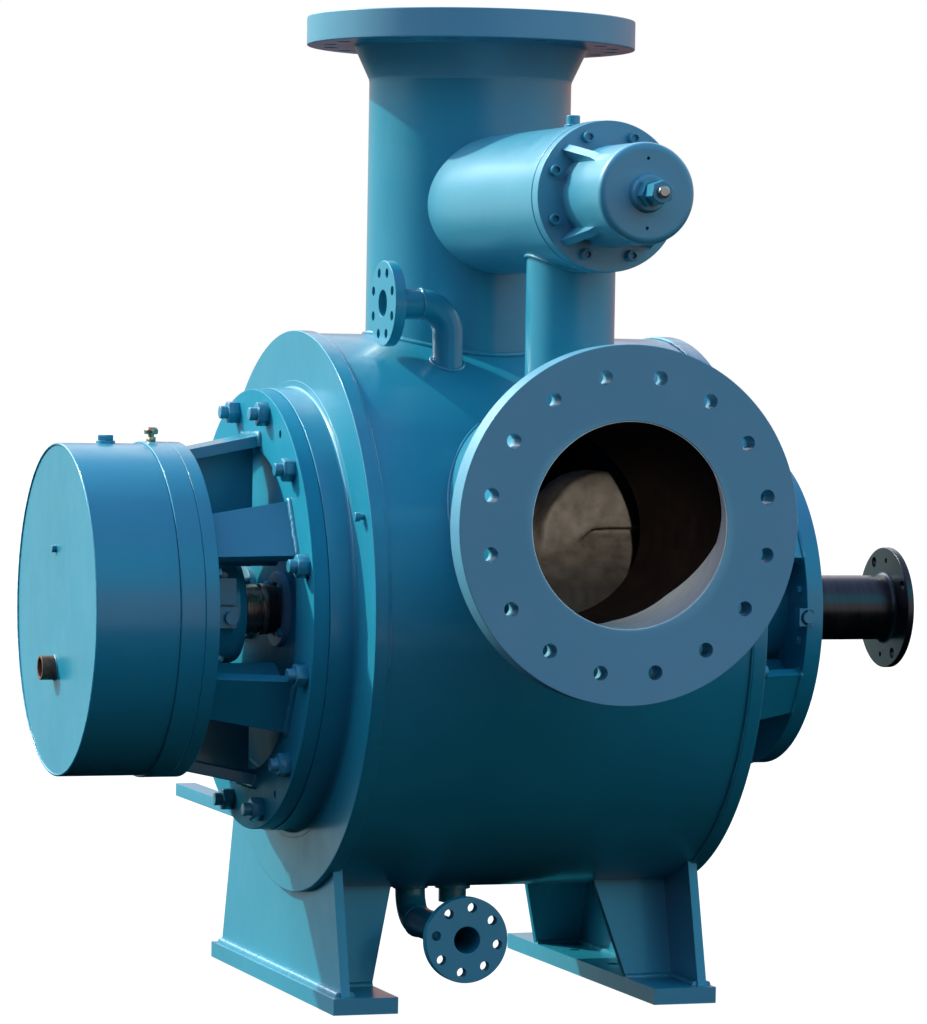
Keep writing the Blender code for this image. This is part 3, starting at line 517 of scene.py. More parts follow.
def circle_tree():
    tree, inputs = new_tree("fastener_circle",
                            {"Seat": "Geometry", "Fastener": "Object", "Count": "Int",
                             "Circle Radius": "Float", "First Angle": "Float", "Spin": "Float",
                             "Seed": "Int", "Turn": "Vector", "Centre": "Vector",
                             "Paint": "Material"})
    places = add_node(tree, "GeometryNodeMeshCircle",
                      {"Vertices": inputs["Count"], "Radius": inputs["Circle Radius"]})
    first = add_node(tree, "ShaderNodeCombineXYZ", {"Z": inputs["First Angle"]})
    start = add_node(tree, "GeometryNodeTransform",
                     {"Geometry": places.outputs["Mesh"], "Rotation": first.outputs["Vector"]})
    source = add_node(tree, "GeometryNodeObjectInfo", {"Object": inputs["Fastener"]})
    copies = add_node(tree, "GeometryNodeInstanceOnPoints",
                      {"Points": start.outputs["Geometry"],
                       "Instance": source.outputs["Geometry"]})
    chance = add_node(tree, "FunctionNodeRandomValue",
                      {3: inputs["Spin"], "Seed": inputs["Seed"]}, data_type="FLOAT")
    spin = add_node(tree, "ShaderNodeCombineXYZ", {"Z": chance.outputs[1]})
    turn = add_node(tree, "GeometryNodeRotateInstances",
                    {"Instances": copies.outputs["Instances"],
                     "Rotation": spin.outputs["Vector"]})
    seat = add_node(tree, "GeometryNodeTransform",
                    {"Geometry": turn.outputs["Instances"], "Rotation": inputs["Turn"],
                     "Translation": inputs["Centre"]})
    real = add_node(tree, "GeometryNodeRealizeInstances", {"Geometry": seat.outputs["Geometry"]})
    return paint_and_end(tree, real.outputs["Geometry"], inputs["Paint"])


FACING = {"-x": (0.0, -math.pi / 2, 0.0), "+x": (0.0, math.pi / 2, 0.0),
          "-y": (math.pi / 2, 0.0, 0.0), "+z": (0.0, 0.0, 0.0)}
OUTWARD = {"left": "-x", "right": "+x"}


def fasteners(name, kind, count, radius, first, facing, centre, paint, spin=2 * math.pi, seed=1):
    """A circle of one kind of fastener; its first angle is in degrees about the facing axis."""
    centre = (Vector(centre) - PUMP_MIDDLE) * MM
    obj = grow(name, bpy.data.meshes.new(name), FASTENER_CIRCLE,
               {"Fastener": kind, "Count": count, "Circle Radius": radius * MM,
                "First Angle": math.radians(first), "Spin": spin, "Seed": seed,
                "Turn": FACING[facing], "Centre": tuple(centre), "Paint": paint})
    return hand_over(obj, None, "pump_body")


def single(name, kind, facing, centre, paint, turn=0.0):
    """One fastener at a point, turned by degrees about its own axis."""
    mesh = kind.data.copy()
    place = Matrix.Translation((Vector(centre) - PUMP_MIDDLE) * MM)
    mesh.transform(place @ Euler(FACING[facing]).to_matrix().to_4x4()
                   @ Matrix.Rotation(math.radians(turn), 4, "Z"))
    return hand_over(placed(name, mesh), paint, "pump_body")


FASTENER_CIRCLE = circle_tree()
fastener_blue = enamel("fastener_blue_enamel", (0.022, 0.260, 0.370), (0.040, 0.310, 0.430),
                       0.34, 0.4, 0.25, 0.2)
cover_nut = with_spindle(hexagon(NUT_FLATS, 0.0, NUT_HIGH),
                         [(0, 0), (STUD_R, 0, 0), (STUD_R, STUD_HIGH, 2), (0, STUD_HIGH)])
for side, face in COVER_FACE.items():
    fasteners(f"cover_nuts_{side}", cover_nut, NUT_COUNT, NUT_CIRCLE_R, NUT_START,
              OUTWARD[side], (face, 0, AXIS_Z), fastener_blue, seed=7)

# Lantern arms. Six flame-cut straps with a rib under each join the cover to the bearing
# plate. They widen towards the cover, and a bead runs round the strap at both ends.
ARM_ANGLES = {"top": 90, "front_upper": 30, "front_lower": -30,
              "bottom": -90, "rear_lower": -150, "rear_upper": 150}
PLATE_FACE = {"left": -599.5, "right": 620.5}
ARM_STRAP, ARM_RIB_HALF, ARM_RIB_IN, TOP_RIB_IN = 23.0, 10.0, 205.0, 85.0
ARM_NARROW, ARM_WIDE = (315.0, 47.0), (347.0, 60.0)


def arm_frame(degrees):
    angle = math.radians(degrees)
    return (Vector((0, -math.cos(angle), math.sin(angle))),
            Vector((0, math.sin(angle), math.cos(angle))))


def arm_point(along, radial, tangent, v, u):
    return Vector((along, 0, AXIS_Z)) + radial * v + tangent * u


for side, plate in PLATE_FACE.items():
    cover = COVER_FACE[side]
    seams = {plate: [], cover: []}
    for place, degrees in ARM_ANGLES.items():
        radial, tangent = arm_frame(degrees)
        rib_in = TOP_RIB_IN if place == "top" else ARM_RIB_IN
        sections = []
        for along, (outer, half) in ((plate, ARM_NARROW), (cover, ARM_WIDE)):
            inner = outer - ARM_STRAP
            outline = [(outer, -half), (outer, half), (inner, half), (inner, ARM_RIB_HALF),
                       (rib_in, ARM_RIB_HALF), (rib_in, -ARM_RIB_HALF),
                       (inner, -ARM_RIB_HALF), (inner, -half)]
            sections.append([arm_point(along, radial, tangent, v, u) for v, u in outline])
            seams[along].append(([arm_point(along, radial, tangent, v, u) for v, u in
                                  ((inner, -half), (outer, -half), (outer, half),
                                   (inner, half))], False))
        piece(f"arm_{side}_{place}_strap", box_between(sections), plate_blue,
              [f"arm_{side}_{place}"], bevel=1.6)
    weld(f"arm_plate_welds_{side}", seams[plate], 4.2, 2.4)
    weld(f"arm_cover_welds_{side}", seams[cover], 8.0, 7.0)

# Bearing plates and bearing housings. Thick discs close the lanterns, and a round
# housing stands on each for either shaft.
PLATE_R = {"left": 331.0, "right": 320.0}
PLATE_THICK = {"left": 28.0, "right": 34.5}
HOUSING_R, HOUSING_NOSE_R, HOUSING_LENGTH = 108.0, 101.0, 87.0
for side, plate in PLATE_FACE.items():
    inward = INWARD[side]
    low, high = sorted((plate, plate - inward * PLATE_THICK[side]))
    piece(f"bearing_plate_{side}_disc",
          turned([(0, low), (PLATE_R[side], low, 1.5), (PLATE_R[side], high, 1.5), (0, high)],
                 "x", COVER_AXIS),
          plate_blue, [f"bearing_plate_{side}"], cuts=shaft_bores(low, high))
    end = plate + inward * HOUSING_LENGTH
    for place, y in (("front", -SHAFT_Y), ("rear", SHAFT_Y)):
        piece(f"bearing_housing_{side}_{place}_body",
              turned([(SHAFT_BORE, plate), (HOUSING_R, plate, 0),
                      (HOUSING_R, end - inward * 16, 4), (HOUSING_NOSE_R, end, 3),
                      (SHAFT_BORE, end)], "x", (0, y, SHAFT_Z), 96),
              plate_blue, [f"bearing_housing_{side}_{place}"])

# Gear case. A flange ring and a deep welded cap hold the two timing gears and their
# oil. The cap's end plate is let into the shell with a seal weld round its rim.
GEAR_FLANGE = (-676.0, -627.8)
GEAR_END_X, GEAR_CASE_R = -841.0, 327.0
END_PLATE_X = GEAR_END_X + 1.5
piece("gear_case_flange_ring",
      turned([(0, GEAR_FLANGE[0]), (PLATE_R["left"], GEAR_FLANGE[0], 2),
              (PLATE_R["left"], GEAR_FLANGE[1], 2), (0, GEAR_FLANGE[1])],
             "x", COVER_AXIS),
      plate_blue, ["gear_case_flange"], cuts=shaft_bores(*GEAR_FLANGE))
piece("gear_case_cap",
      turned([(0, END_PLATE_X), (GEAR_CASE_R - 5, END_PLATE_X, 0),
              (GEAR_CASE_R - 4, GEAR_END_X, 1), (GEAR_CASE_R, GEAR_END_X, 3),
              (GEAR_CASE_R, GEAR_FLANGE[0] - 0.3, 1.5), (0, GEAR_FLANGE[0] - 0.3)],
             "x", COVER_AXIS),
      plate_blue, ["gear_case_cover"])

# Shafts. Two ground steel bars run in the bearings behind both plates, in plain view
# only between the bearings and the covers.
SHAFT_R = 45.0
SHAFT_LEFT_X, SHAFT_FRONT_X, SHAFT_REAR_X = -664.0, 878.0, 649.0


def metal(name, dark, light, roughness, metallic, scale, bumps):
    """Machined or cast metal: streaks or pits of two tones, with a matching fine bump."""
    material, tree, place = new_finish(name)
    stretch = add_node(tree, "ShaderNodeMapping", {"Scale": scale, "Vector": place})
    grain = add_node(tree, "ShaderNodeTexNoise",
                     {"Scale": 1.0, "Detail": 6.0, "Roughness": 0.62,
                      "Vector": stretch.outputs["Vector"]}).outputs["Fac"]
    shader = surface(material)
    shader["Metallic"].default_value = metallic
    tree.links.new(two_tones(tree, grain, dark, light, 0.32), shader["Base Color"])
    tree.links.new(dulling(tree, grain, roughness - 0.06, roughness + 0.08), shader["Roughness"])
    tree.links.new(bump(tree, grain, 0.5, bumps), shader["Normal"])
    return material


turned_steel = metal("turned_steel", (0.30, 0.29, 0.28), (0.50, 0.48, 0.46), 0.30, 1.0,
                     (900, 30, 30), 0.00002)
for name, y, end, body, node in (
        ("drive_shaft_bar", -SHAFT_Y, SHAFT_FRONT_X, "drive_rotor", "drive_shaft"),
        ("driven_shaft_bar", SHAFT_Y, SHAFT_REAR_X, "driven_rotor", "driven_shaft")):
    piece(name, rod(SHAFT_R, "x", (0, y, SHAFT_Z), SHAFT_LEFT_X, end, 64), turned_steel,
          [node], bevel=2.0, body=body)

# Seal rings. Two bronze clamping collars and a black bush turn with each shaft, on
# either side of the casing.
seal_bronze = metal("seal_bronze", (0.30, 0.16, 0.10), (0.58, 0.38, 0.28), 0.30, 0.9,
                    (500, 60, 60), 0.00003)
seal_black = metal("seal_black", (0.006, 0.006, 0.006), (0.02, 0.018, 0.016), 0.5, 0.0,
                   (300, 60, 60), 0.00003)
COLLARS = ((-497.0, -468.0, 49.5), (-464.0, -452.0, 50.5))
BUSH_R, BUSH = 47.0, (-452.0, -431.0)
SEAL_BORE, MIRROR_X = SHAFT_R + 0.5, 10.5
for name, y, body in (("drive", -SHAFT_Y, "drive_rotor"), ("driven", SHAFT_Y, "driven_rotor")):
    for side, sign in (("left", 1), ("right", -1)):
        centre = (0, y, SHAFT_Z)
        rings = bmesh.new()
        for low, high, radius in COLLARS:
            low, high = sorted((MIRROR_X + sign * (low - MIRROR_X),
                                MIRROR_X + sign * (high - MIRROR_X)))
            add_to(rings, turned([(SEAL_BORE, low), (radius, low, 2), (radius, high, 2),
                                  (SEAL_BORE, high)], "x", centre, 64))
        piece(f"{name}_seal_collars_{side}", rings, seal_bronze, body=body)
        low, high = sorted(MIRROR_X + sign * (place - MIRROR_X) for place in BUSH)
        piece(f"{name}_seal_bush_{side}",
              turned([(SEAL_BORE, low), (BUSH_R, low), (BUSH_R, high), (SEAL_BORE, high)],
                     "x", centre, 64), seal_black, body=body)

# Seal glands. In the recess of each cover a round plate with four small nuts holds the
# stationary half of either shaft's seal.
GLAND_R, GLAND_HIGH, GLAND_BORE, GLAND_PITCH_R = 74.0, 12.0, 52.5, 63.0
gland_nut = with_spindle(hexagon(14.0, 0.0, 7.0), [(0, 0), (4, 0, 0), (4, 10, 1), (0, 10)])
for side, face in COVER_FACE.items():
    recess_x = face + INWARD[side] * RECESS
    top = recess_x - INWARD[side] * GLAND_HIGH
    for place, y in (("front", -SHAFT_Y), ("rear", SHAFT_Y)):
        piece(f"seal_gland_{side}_{place}",
              turned([(GLAND_BORE, recess_x), (GLAND_R, recess_x, 0), (GLAND_R, top, 2),
                      (GLAND_BORE, top, 1)], "x", (0, y, SHAFT_Z), 80), face_blue)
        fasteners(f"gland_nuts_{side}_{place}", gland_nut, 4, GLAND_PITCH_R, 45.0,
                  OUTWARD[side], (top, y, SHAFT_Z), fastener_blue, seed=3)

# Drive coupling. A turned hub and flange in blackened steel, with four driving holes
# and two jacking holes.
COUPLING_R, COUPLING_BACK, COUPLING_FACE, HUB_R, HUB_X = 123.5, 878.0, 892.0, 66.0, 661.0
HUB_BORE = SHAFT_R + 0.6
blackened = metal("blackened_steel", (0.008, 0.008, 0.010), (0.030, 0.026, 0.026), 0.33, 0.55,
                  (120, 14, 14), 0.00003)
surface(blackened)["Coat Weight"].default_value = 0.5
surface(blackened)["Coat Roughness"].default_value = 0.25
DRIVE_HOLES, JACK_HOLES = (11, 103, 4), (5.5, 97.5, 2)
drive_centre = (0, -SHAFT_Y, SHAFT_Z)
piece("drive_coupling_half",
      turned([(HUB_BORE, HUB_X), (HUB_R, HUB_X, 2), (HUB_R, COUPLING_BACK, 10),
              (COUPLING_R, COUPLING_BACK, 2), (COUPLING_R, COUPLING_FACE, 1.5),
              (HUB_BORE, COUPLING_FACE, 2)], "x", drive_centre),
      blackened, ["coupling_flange"], body="drive_rotor",
      cuts=[hole_circle(*holes, "x", drive_centre, COUPLING_BACK - 20, COUPLING_FACE + 20,
                        start, sides)
            for holes, start, sides in ((DRIVE_HOLES, 152, 32), (JACK_HOLES, 96, 20))])

# Bearing caps. The drive end has a ring round the hub and the driven shaft a closed
# cap, both on the outside of the right bearing plate and held by six screws.
CAP_X, CAP_R, CAP_HIGH, CAP_BORE, NOSE_HIGH = 655.3, 104.0, 20.0, HUB_R + 6, 34.0
CAP_SCREW_R = {"drive": 88.0, "driven": 95.0}
piece("drive_bearing_ring",
      turned([(CAP_BORE, CAP_X), (CAP_R, CAP_X, 0), (CAP_R, CAP_X + CAP_HIGH, 3),
              (CAP_BORE, CAP_X + CAP_HIGH, 2)], "x", drive_centre, 96),
      plate_blue, ["bearing_cap_drive"])
piece("driven_bearing_cap",
      turned([(0, CAP_X), (CAP_R, CAP_X, 0), (CAP_R, CAP_X + CAP_HIGH, 3),
              (CAP_R - 18, CAP_X + CAP_HIGH, 3), (CAP_R - 20, CAP_X + NOSE_HIGH, 4),
              (0, CAP_X + NOSE_HIGH)], "x", (0, SHAFT_Y, SHAFT_Z), 96),
      plate_blue, ["bearing_cap_driven"])
cap_screw = with_spindle(hexagon(19.0, 0.0, 8.0),
                         [(0, 0), (9.4, 0, 0), (9.4, 1.5, 0), (0, 1.5)])
for name, y in (("drive", -SHAFT_Y), ("driven", SHAFT_Y)):
    fasteners(f"{name}_cap_screws", cap_screw, 6, CAP_SCREW_R[name], 30.0, "+x",
              (CAP_X + CAP_HIGH, y, SHAFT_Z), fastener_blue, seed=5)

# Screw housing. A rough grey-brown casting that holds the two screws. Only its front
# shows, through the discharge bore: an arched lobe with a cut end over a round belly.
HOUSING_LEFT_X, HOUSING_RIGHT_X, SCREW_HOUSING_R = -388.0, 409.0, 172.0
SCREW_END_X, SCREW_END_R, BELLY_EDGE = 388.0, 110.0, 34.0
LOBE_R, LOBE_WIDE, LOBE_X, LOBE_Z, LOBE_RIGHT_X = 200.0, 152.0, 218.0, 850.0, 282.0
LOBE_LIP_Z, LOBE_FRONT_Y, LOBE_REAR_Y = 938.0, -240.0, -100.0
CORE_Y, CORE_Z, CORE_X = -60.0, 825.0, (60.0, 340.0)
CAST_VOXEL = 7.0
# Painted shade: between two heights in metres, the casting's colour falls to a small fraction of
# itself towards its bottom.
SHADE_FULL_Z, SHADE_CLEAR_Z, SHADE_TONE = 0.82, 0.945, 0.07
rough_iron = metal("rough_cast_iron", (0.100, 0.083, 0.068), (0.215, 0.188, 0.158), 0.62, 0.0,
                   (26, 26, 26), 0.0016)
iron = rough_iron.node_tree
# Painted shade on the casting: its colour is scaled down by height and is darkest low on the
# belly.
shade_height = add_node(iron, "ShaderNodeSeparateXYZ",
                    {"Vector": iron.nodes["Texture Coordinate"].outputs["Object"]})
painted_shade = add_node(iron, "ShaderNodeMapRange",
               {"Value": shade_height.outputs["Z"], "From Min": SHADE_FULL_Z, "From Max": SHADE_CLEAR_Z,
                "To Min": SHADE_TONE, "To Max": 1.0})
shaded_iron_colour = add_node(iron, "ShaderNodeVectorMath",
                 {0: iron.nodes["Color Ramp"].outputs["Color"], "Scale": painted_shade.outputs["Result"]},
                 operation="SCALE")
iron.links.new(shaded_iron_colour.outputs["Vector"], surface(rough_iron)["Base Color"])


def lobe():
    left = math.pi - math.asin((LOBE_LIP_Z - LOBE_Z) / LOBE_R)
    right = math.acos((LOBE_RIGHT_X - LOBE_X) / LOBE_WIDE)
    outline = []
    for step in range(33):
        angle = left + (right - left) * step / 32
        outline.append((LOBE_X + LOBE_WIDE * math.cos(angle),
                        LOBE_Z + LOBE_R * math.sin(angle)))
    outline.append((LOBE_RIGHT_X, LOBE_LIP_Z))
    return box_between([[Vector((x, y, z)) for x, z in outline]
                        for y in (LOBE_FRONT_Y, LOBE_REAR_Y)])


def wall(x_places, outline):
    """A solid square to X with the same outline, in Y and Z, at each place."""
    return box_between([[Vector((x, y, z)) for y, z in outline] for x in x_places])


casting = raw("screw_housing_casting",
              turned([(0, HOUSING_LEFT_X), (SCREW_HOUSING_R, HOUSING_LEFT_X, 0),
                      (SCREW_HOUSING_R, SCREW_END_X, BELLY_EDGE), (SCREW_END_R, SCREW_END_X, 0),
                      (SCREW_END_R, HOUSING_RIGHT_X, 0), (0, HOUSING_RIGHT_X)],
                     "x", (0, -SHAFT_Y, SHAFT_Z), 96))
lug = wall((276, 330), ((-228, 938), (-150, 938), (-150, 976), (-228, 976)))
cast_web = box_between([[Vector((x, y, z)) for y, z in
                         ((LOBE_FRONT_Y + 2, low), (-150, low - 20), (-150, LOBE_LIP_Z + 10),
                          (LOBE_FRONT_Y + 2, LOBE_LIP_Z + 10))]
                        for x, low in ((84, 878), (128, 890), (190, LOBE_LIP_Z - 2))])
parts = [with_tool(casting, raw("casting_part", bm), "UNION") for bm in
         (rod(SCREW_HOUSING_R, "x", (0, SHAFT_Y, SHAFT_Z), HOUSING_LEFT_X, HOUSING_RIGHT_X),
          rod(SCREW_HOUSING_R - 4, "x", (0, CORE_Y, CORE_Z), *CORE_X), lobe(), lug, cast_web)]
use_up(casting)
skin = casting.modifiers.new("skin", "REMESH")
skin.mode = "VOXEL"
skin.voxel_size = CAST_VOXEL * MM
use_up(casting)
smooth = casting.modifiers.new("smooth", "SMOOTH")
smooth.factor = 0.5
smooth.iterations = 8
use_up(casting)
normals = [vert.normal.copy() for vert in casting.data.vertices]
for vert, normal in zip(casting.data.vertices, normals):
    broad = noise.noise(vert.co * 11.0)
    grain = noise.noise(vert.co * 55.0 + Vector((3.1, 0, 0)))
    vert.co += normal * (broad * 2.6 + grain * 1.0) * MM
for bore in shaft_bores(HOUSING_LEFT_X, HOUSING_RIGHT_X, SHAFT_BORE + 5):
    parts.append(with_tool(casting, raw("screw_bore", bore), "DIFFERENCE", "MANIFOLD"))
    use_up(casting)
for part in parts:
    bpy.data.objects.remove(part)
shade(casting, 60)
hand_over(casting, rough_iron, "pump_body", ["screw_housing"])

# Casing lining. The wetted inside of the barrel and of its right end is bare plate with no
# paint, dark with oil and rust, and made near black besides as painted shade.
oily_shade_dark = metal("oily_painted_shade_bore", (0.0050, 0.0025, 0.0022), (0.016, 0.008, 0.006), 0.85, 0.0,
                    (30, 30, 30), 0.0008)
surface(oily_shade_dark)["Specular IOR Level"].default_value = 0.15
LINING_R, LINING_THICK = BARREL_R - PLATE_WALL - 0.4, 1.2
piece("casing_lining",
      turned([(LINING_R, BARREL_LEFT + 1), (LINING_R, BARREL_RIGHT - 1),
              (LINING_R - LINING_THICK, BARREL_RIGHT - 1),
              (LINING_R - LINING_THICK, BARREL_LEFT + 1)], "x", CASING_AXIS, 144, 0),
      oily_shade_dark,
      cuts=[rod(MAIN_BORE - 1, "z", CASING_AXIS, drill_near, drill_far, 96),
            rod(MAIN_BORE - 1, "y", (0, 0, DISCHARGE_Z), -drill_far, -drill_near, 96)])
piece("casing_end_lining",
      turned([(0, HOUSING_RIGHT_X - 1.6), (BORE_R - 2, HOUSING_RIGHT_X - 1.6, 0),
              (BORE_R - 2, HOUSING_RIGHT_X - 0.4, 0), (0, HOUSING_RIGHT_X - 0.4)],
             "x", COVER_AXIS, 96, 0), oily_shade_dark,
      cuts=shaft_bores(HOUSING_RIGHT_X, HOUSING_RIGHT_X))

# Suction branch. A 16 inch pipe stands on the casing, welded all round, under a
# forged weld-neck flange with twenty bolt holes.
SUCTION_TOP, SUCTION_THICK, FLANGE_R, NECK_LONG, NECK_WIDE = 1950.0, 57.0, 330.0, 72.0, 235.0
neck_foot = SUCTION_TOP - SUCTION_THICK - NECK_LONG
piece("suction_flange_forging",
      turned([(MAIN_BORE, neck_foot), (MAIN_R, neck_foot, 0), (MAIN_R + 1, neck_foot + 6, 12),
              (NECK_WIDE, SUCTION_TOP - SUCTION_THICK, 8),
              (FLANGE_R, SUCTION_TOP - SUCTION_THICK, 2.5), (FLANGE_R, SUCTION_TOP, 2.5),
              (MAIN_BORE, SUCTION_TOP, 2.5)], "z", (0, 0, 0), FINEST),
      face_blue, ["suction_flange"],
      cuts=[hole_circle(14, 286, 20, "z", (0, 0, 0), SUCTION_TOP - 120, SUCTION_TOP + 40, 9)])


def saddled_pipe(outer_foot, inner_foot, axis, end):
    """A pipe whose foot follows a saddle; its other end lies square to an axis."""
    bm = bmesh.new()
    rings = []
    for foot, square in ((outer_foot, False), (outer_foot, True), (inner_foot, True),
                         (inner_foot, False)):
        rings.append([])
        for point in foot:
            place = point.copy()
            if square:
                place["xyz".index(axis)] = end
            rings[-1].append(bm.verts.new(place))
    strips(bm, rings + rings[:1])
    return bm


piece("suction_branch_pipe",
      saddled_pipe(saddle(MAIN_R, 0, 0, out=-4), saddle(MAIN_BORE, 0, 0, out=-4), "z",
                   neck_foot + 0.5), plate_blue, ["suction_pipe"])
weld("suction_branch_weld", [(saddle(MAIN_R + 3, 0, 0, out=2), True)], 5.5, 2.0)

# Discharge branch. A short neck and a weld-neck flange with sixteen bolt holes. The
# bore of the flange is bare machined steel.
DISCHARGE_FACE, DISCHARGE_THICK = -939.0, 52.0
discharge_back = DISCHARGE_FACE + DISCHARGE_THICK
discharge_foot = discharge_back + NECK_LONG
discharge_centre = (0, 0, DISCHARGE_Z)
piece("discharge_flange_forging",
      turned([(MAIN_BORE, DISCHARGE_FACE, 2), (FLANGE_R, DISCHARGE_FACE, 2),
              (FLANGE_R, discharge_back, 2.5), (NECK_WIDE, discharge_back, 8),
              (MAIN_R + 1, discharge_foot - 6, 12), (MAIN_R, discharge_foot, 0),
              (MAIN_BORE, discharge_foot)], "y", discharge_centre, FINEST),
      face_blue, ["discharge_flange"],
      cuts=[hole_circle(14, 274, 16, "y", discharge_centre, DISCHARGE_FACE - 40,
                        discharge_back + 30, 11.25)])
piece("discharge_neck_pipe",
      saddled_pipe(front_saddle(MAIN_R, -4), front_saddle(MAIN_BORE, -4), "y",
                   discharge_foot - 0.5), plate_blue, ["discharge_neck"])
weld("discharge_root_weld", [(front_saddle(MAIN_R + 1, 0), True)], 3.0, 0.6)
weld("discharge_flange_weld",
     [(circle(MAIN_R - 0.8, "y", discharge_centre, discharge_foot), True)], 5.5, 2.0)

# Discharge bore. Bare machined steel, painted pale low on the right of its mouth as far as light
# falls into it, as painted light, and near black beyond, as painted shade.
painted_lit_steel = metal("painted_lit_bore", (0.66, 0.77, 0.74), (0.86, 0.95, 0.88), 0.40, 0.20,
                   (12, 60, 12), 0.00003)
# Painted light: for each angle round the bore, the depth to which its mouth is painted bright,
# following the line of the mouth's shadow.
MOUTH_Y, MOUTH_GROWTH = DISCHARGE_FACE + 2.2, 1.2
PAINTED_LIT_DEPTHS = ((-180, 1), (-125, 1), (-110, 60), (-95, 150), (-78, 190), (-62, 170), (-45, 150),
         (-25, 88), (-10, 42), (5, 24), (20, 14), (32, 1), (180, 1))


def painted_lit_depth(degrees):
    for (low, first), (high, second) in zip(PAINTED_LIT_DEPTHS, PAINTED_LIT_DEPTHS[1:]):
        if low <= degrees <= high:
            return first + (second - first) * (degrees - low) / (high - low)


def port_edge(degrees):
    """Where the inside of the barrel cuts the bore at an angle."""
    rise = DISCHARGE_Z + MAIN_BORE * math.sin(math.radians(degrees)) - CASING_Z
    return -math.sqrt((BARREL_R - PLATE_WALL) ** 2 - rise ** 2)


def bore_skin(front, rear, count=180):
    """A thin tube in the discharge bore between two lines, each a depth for an angle."""
    bm = bmesh.new()
    rings = []
    for radius, line in ((MAIN_BORE + 0.5, front), (MAIN_BORE + 0.5, rear),
                         (MAIN_BORE - MOUTH_GROWTH, rear), (MAIN_BORE - MOUTH_GROWTH, front)):
        rings.append([])
        for step in range(count):
            degrees = 360 * step / count - 180
            angle = math.radians(degrees)
            rings[-1].append(bm.verts.new((radius * math.cos(angle), line(degrees),
                                           DISCHARGE_Z + radius * math.sin(angle))))
    strips(bm, rings + rings[:1])
    return bm


# The mouth is painted bright where light falls into it: painted light.
piece("discharge_bore_mouth",
      bore_skin(lambda degrees: MOUTH_Y, lambda degrees: MOUTH_Y + painted_lit_depth(degrees)),
      painted_lit_steel)
# Painted shade: the throat past the line of the mouth's shadow is near black.
piece("discharge_bore_throat",
      bore_skin(lambda degrees: MOUTH_Y + painted_lit_depth(degrees) + 0.1, port_edge),
      oily_shade_dark)

# Relief valve. A 10 inch body on the front of the suction pipe, a cast bonnet with four
# ribs over its spring, and the adjusting screw with its two nuts.
VALVE_Z, VALVE_END, VALVE_R, VALVE_RIM = 1573.0, -765.0, 136.5, 141.0
BONNET_R, BONNET_END, BONNET_BACK = 93.0, -995.0, -797.0
valve_centre = (0, 0, VALVE_Z)
cast_blue = enamel("cast_blue_enamel", (0.055, 0.330, 0.450), (0.070, 0.370, 0.500),
                   0.40, 0.8, 0.22, 0.22)
surface(cast_blue)["Coat Roughness"].default_value = 0.30
piece("relief_valve_shell",
      turned([(0, VALVE_END), (VALVE_RIM, VALVE_END, 2), (VALVE_RIM, VALVE_END + 30, 2),
              (VALVE_R, VALVE_END + 33, 3), (VALVE_R, -60, 0), (0, -60)],
             "y", valve_centre), cast_blue, ["relief_valve_body"],
      cuts=[rod(MAIN_R - 1.5, "z", (0, 0, 0), VALVE_Z - 300, VALVE_Z + 300, 96)])
ribs = []
for quarter in range(4):
    turn = Matrix.Translation(Vector(valve_centre)) @ Matrix.Rotation(
        math.pi / 4 + quarter * math.pi / 2, 4, "Y")
    outline = ((80, BONNET_BACK + 3), (127, BONNET_BACK + 3), (101, -898), (BONNET_R - 3, -915),
               (80, -915))
    ribs.append(box_between([[turn @ Vector((half, along, out)) for out, along in outline]
                             for half in (-7.5, 7.5)]))
piece("relief_valve_cap",
      turned([(0, BONNET_END), (BONNET_R, BONNET_END, 14), (BONNET_R, BONNET_BACK, 3),
              (VALVE_RIM - 1, BONNET_BACK, 2), (VALVE_RIM - 1, VALVE_END - 0.6, 2),
              (0, VALVE_END - 0.6)], "y", valve_centre),
      cast_blue, ["relief_valve_bonnet"], joins=ribs,
      cuts=[rod(3.2, "y", (x, 0, VALVE_Z + z), BONNET_END - 10, BONNET_END + 12, 20)
            for x, z in ((0, 63), (0, -63))])
cap_bolt = with_spindle(placed("cap_bolt", bpy.data.meshes.new("cap_bolt")),
                        [(0, 0), (10.5, 0, 0), (10.5, 15, 1.5), (6.2, 15, 0.5), (6.2, 8, 0),
                         (0, 8)], 28)
fasteners("relief_valve_cap_bolts", cap_bolt, 8, 117.0, 22.5, "-y", (0, BONNET_BACK, VALVE_Z),
          fastener_blue, spin=0.0)
SCREW_TIP, SCREW_SEAT = -1079.0, -995.3
BOSS_END = SCREW_SEAT - 14
screw = turned([(0, SCREW_TIP), (11, SCREW_TIP, 4), (11, SCREW_SEAT, 0), (0, SCREW_SEAT)],
               "y", valve_centre, 40, 1)
piece("relief_valve_screw", screw, turned_steel, ["relief_adjusting_screw"])
spring_boss = turned([(0, BOSS_END), (33, BOSS_END, 4), (36, SCREW_SEAT + 2, 0),
                      (0, SCREW_SEAT + 2)], "y", valve_centre, 64)
piece("relief_valve_boss", spring_boss, cast_blue)
lock_nut = hexagon(46.0, 0.0, 22.0)
single("relief_valve_locknut", lock_nut, "-y", (0, BOSS_END, VALVE_Z), fastener_blue, 12)
small_nut = hexagon(38.0, 0.0, 34.0)
single("relief_valve_cap_nut", small_nut, "-y", (0, SCREW_SEAT - 40, VALVE_Z), fastener_blue, 20)

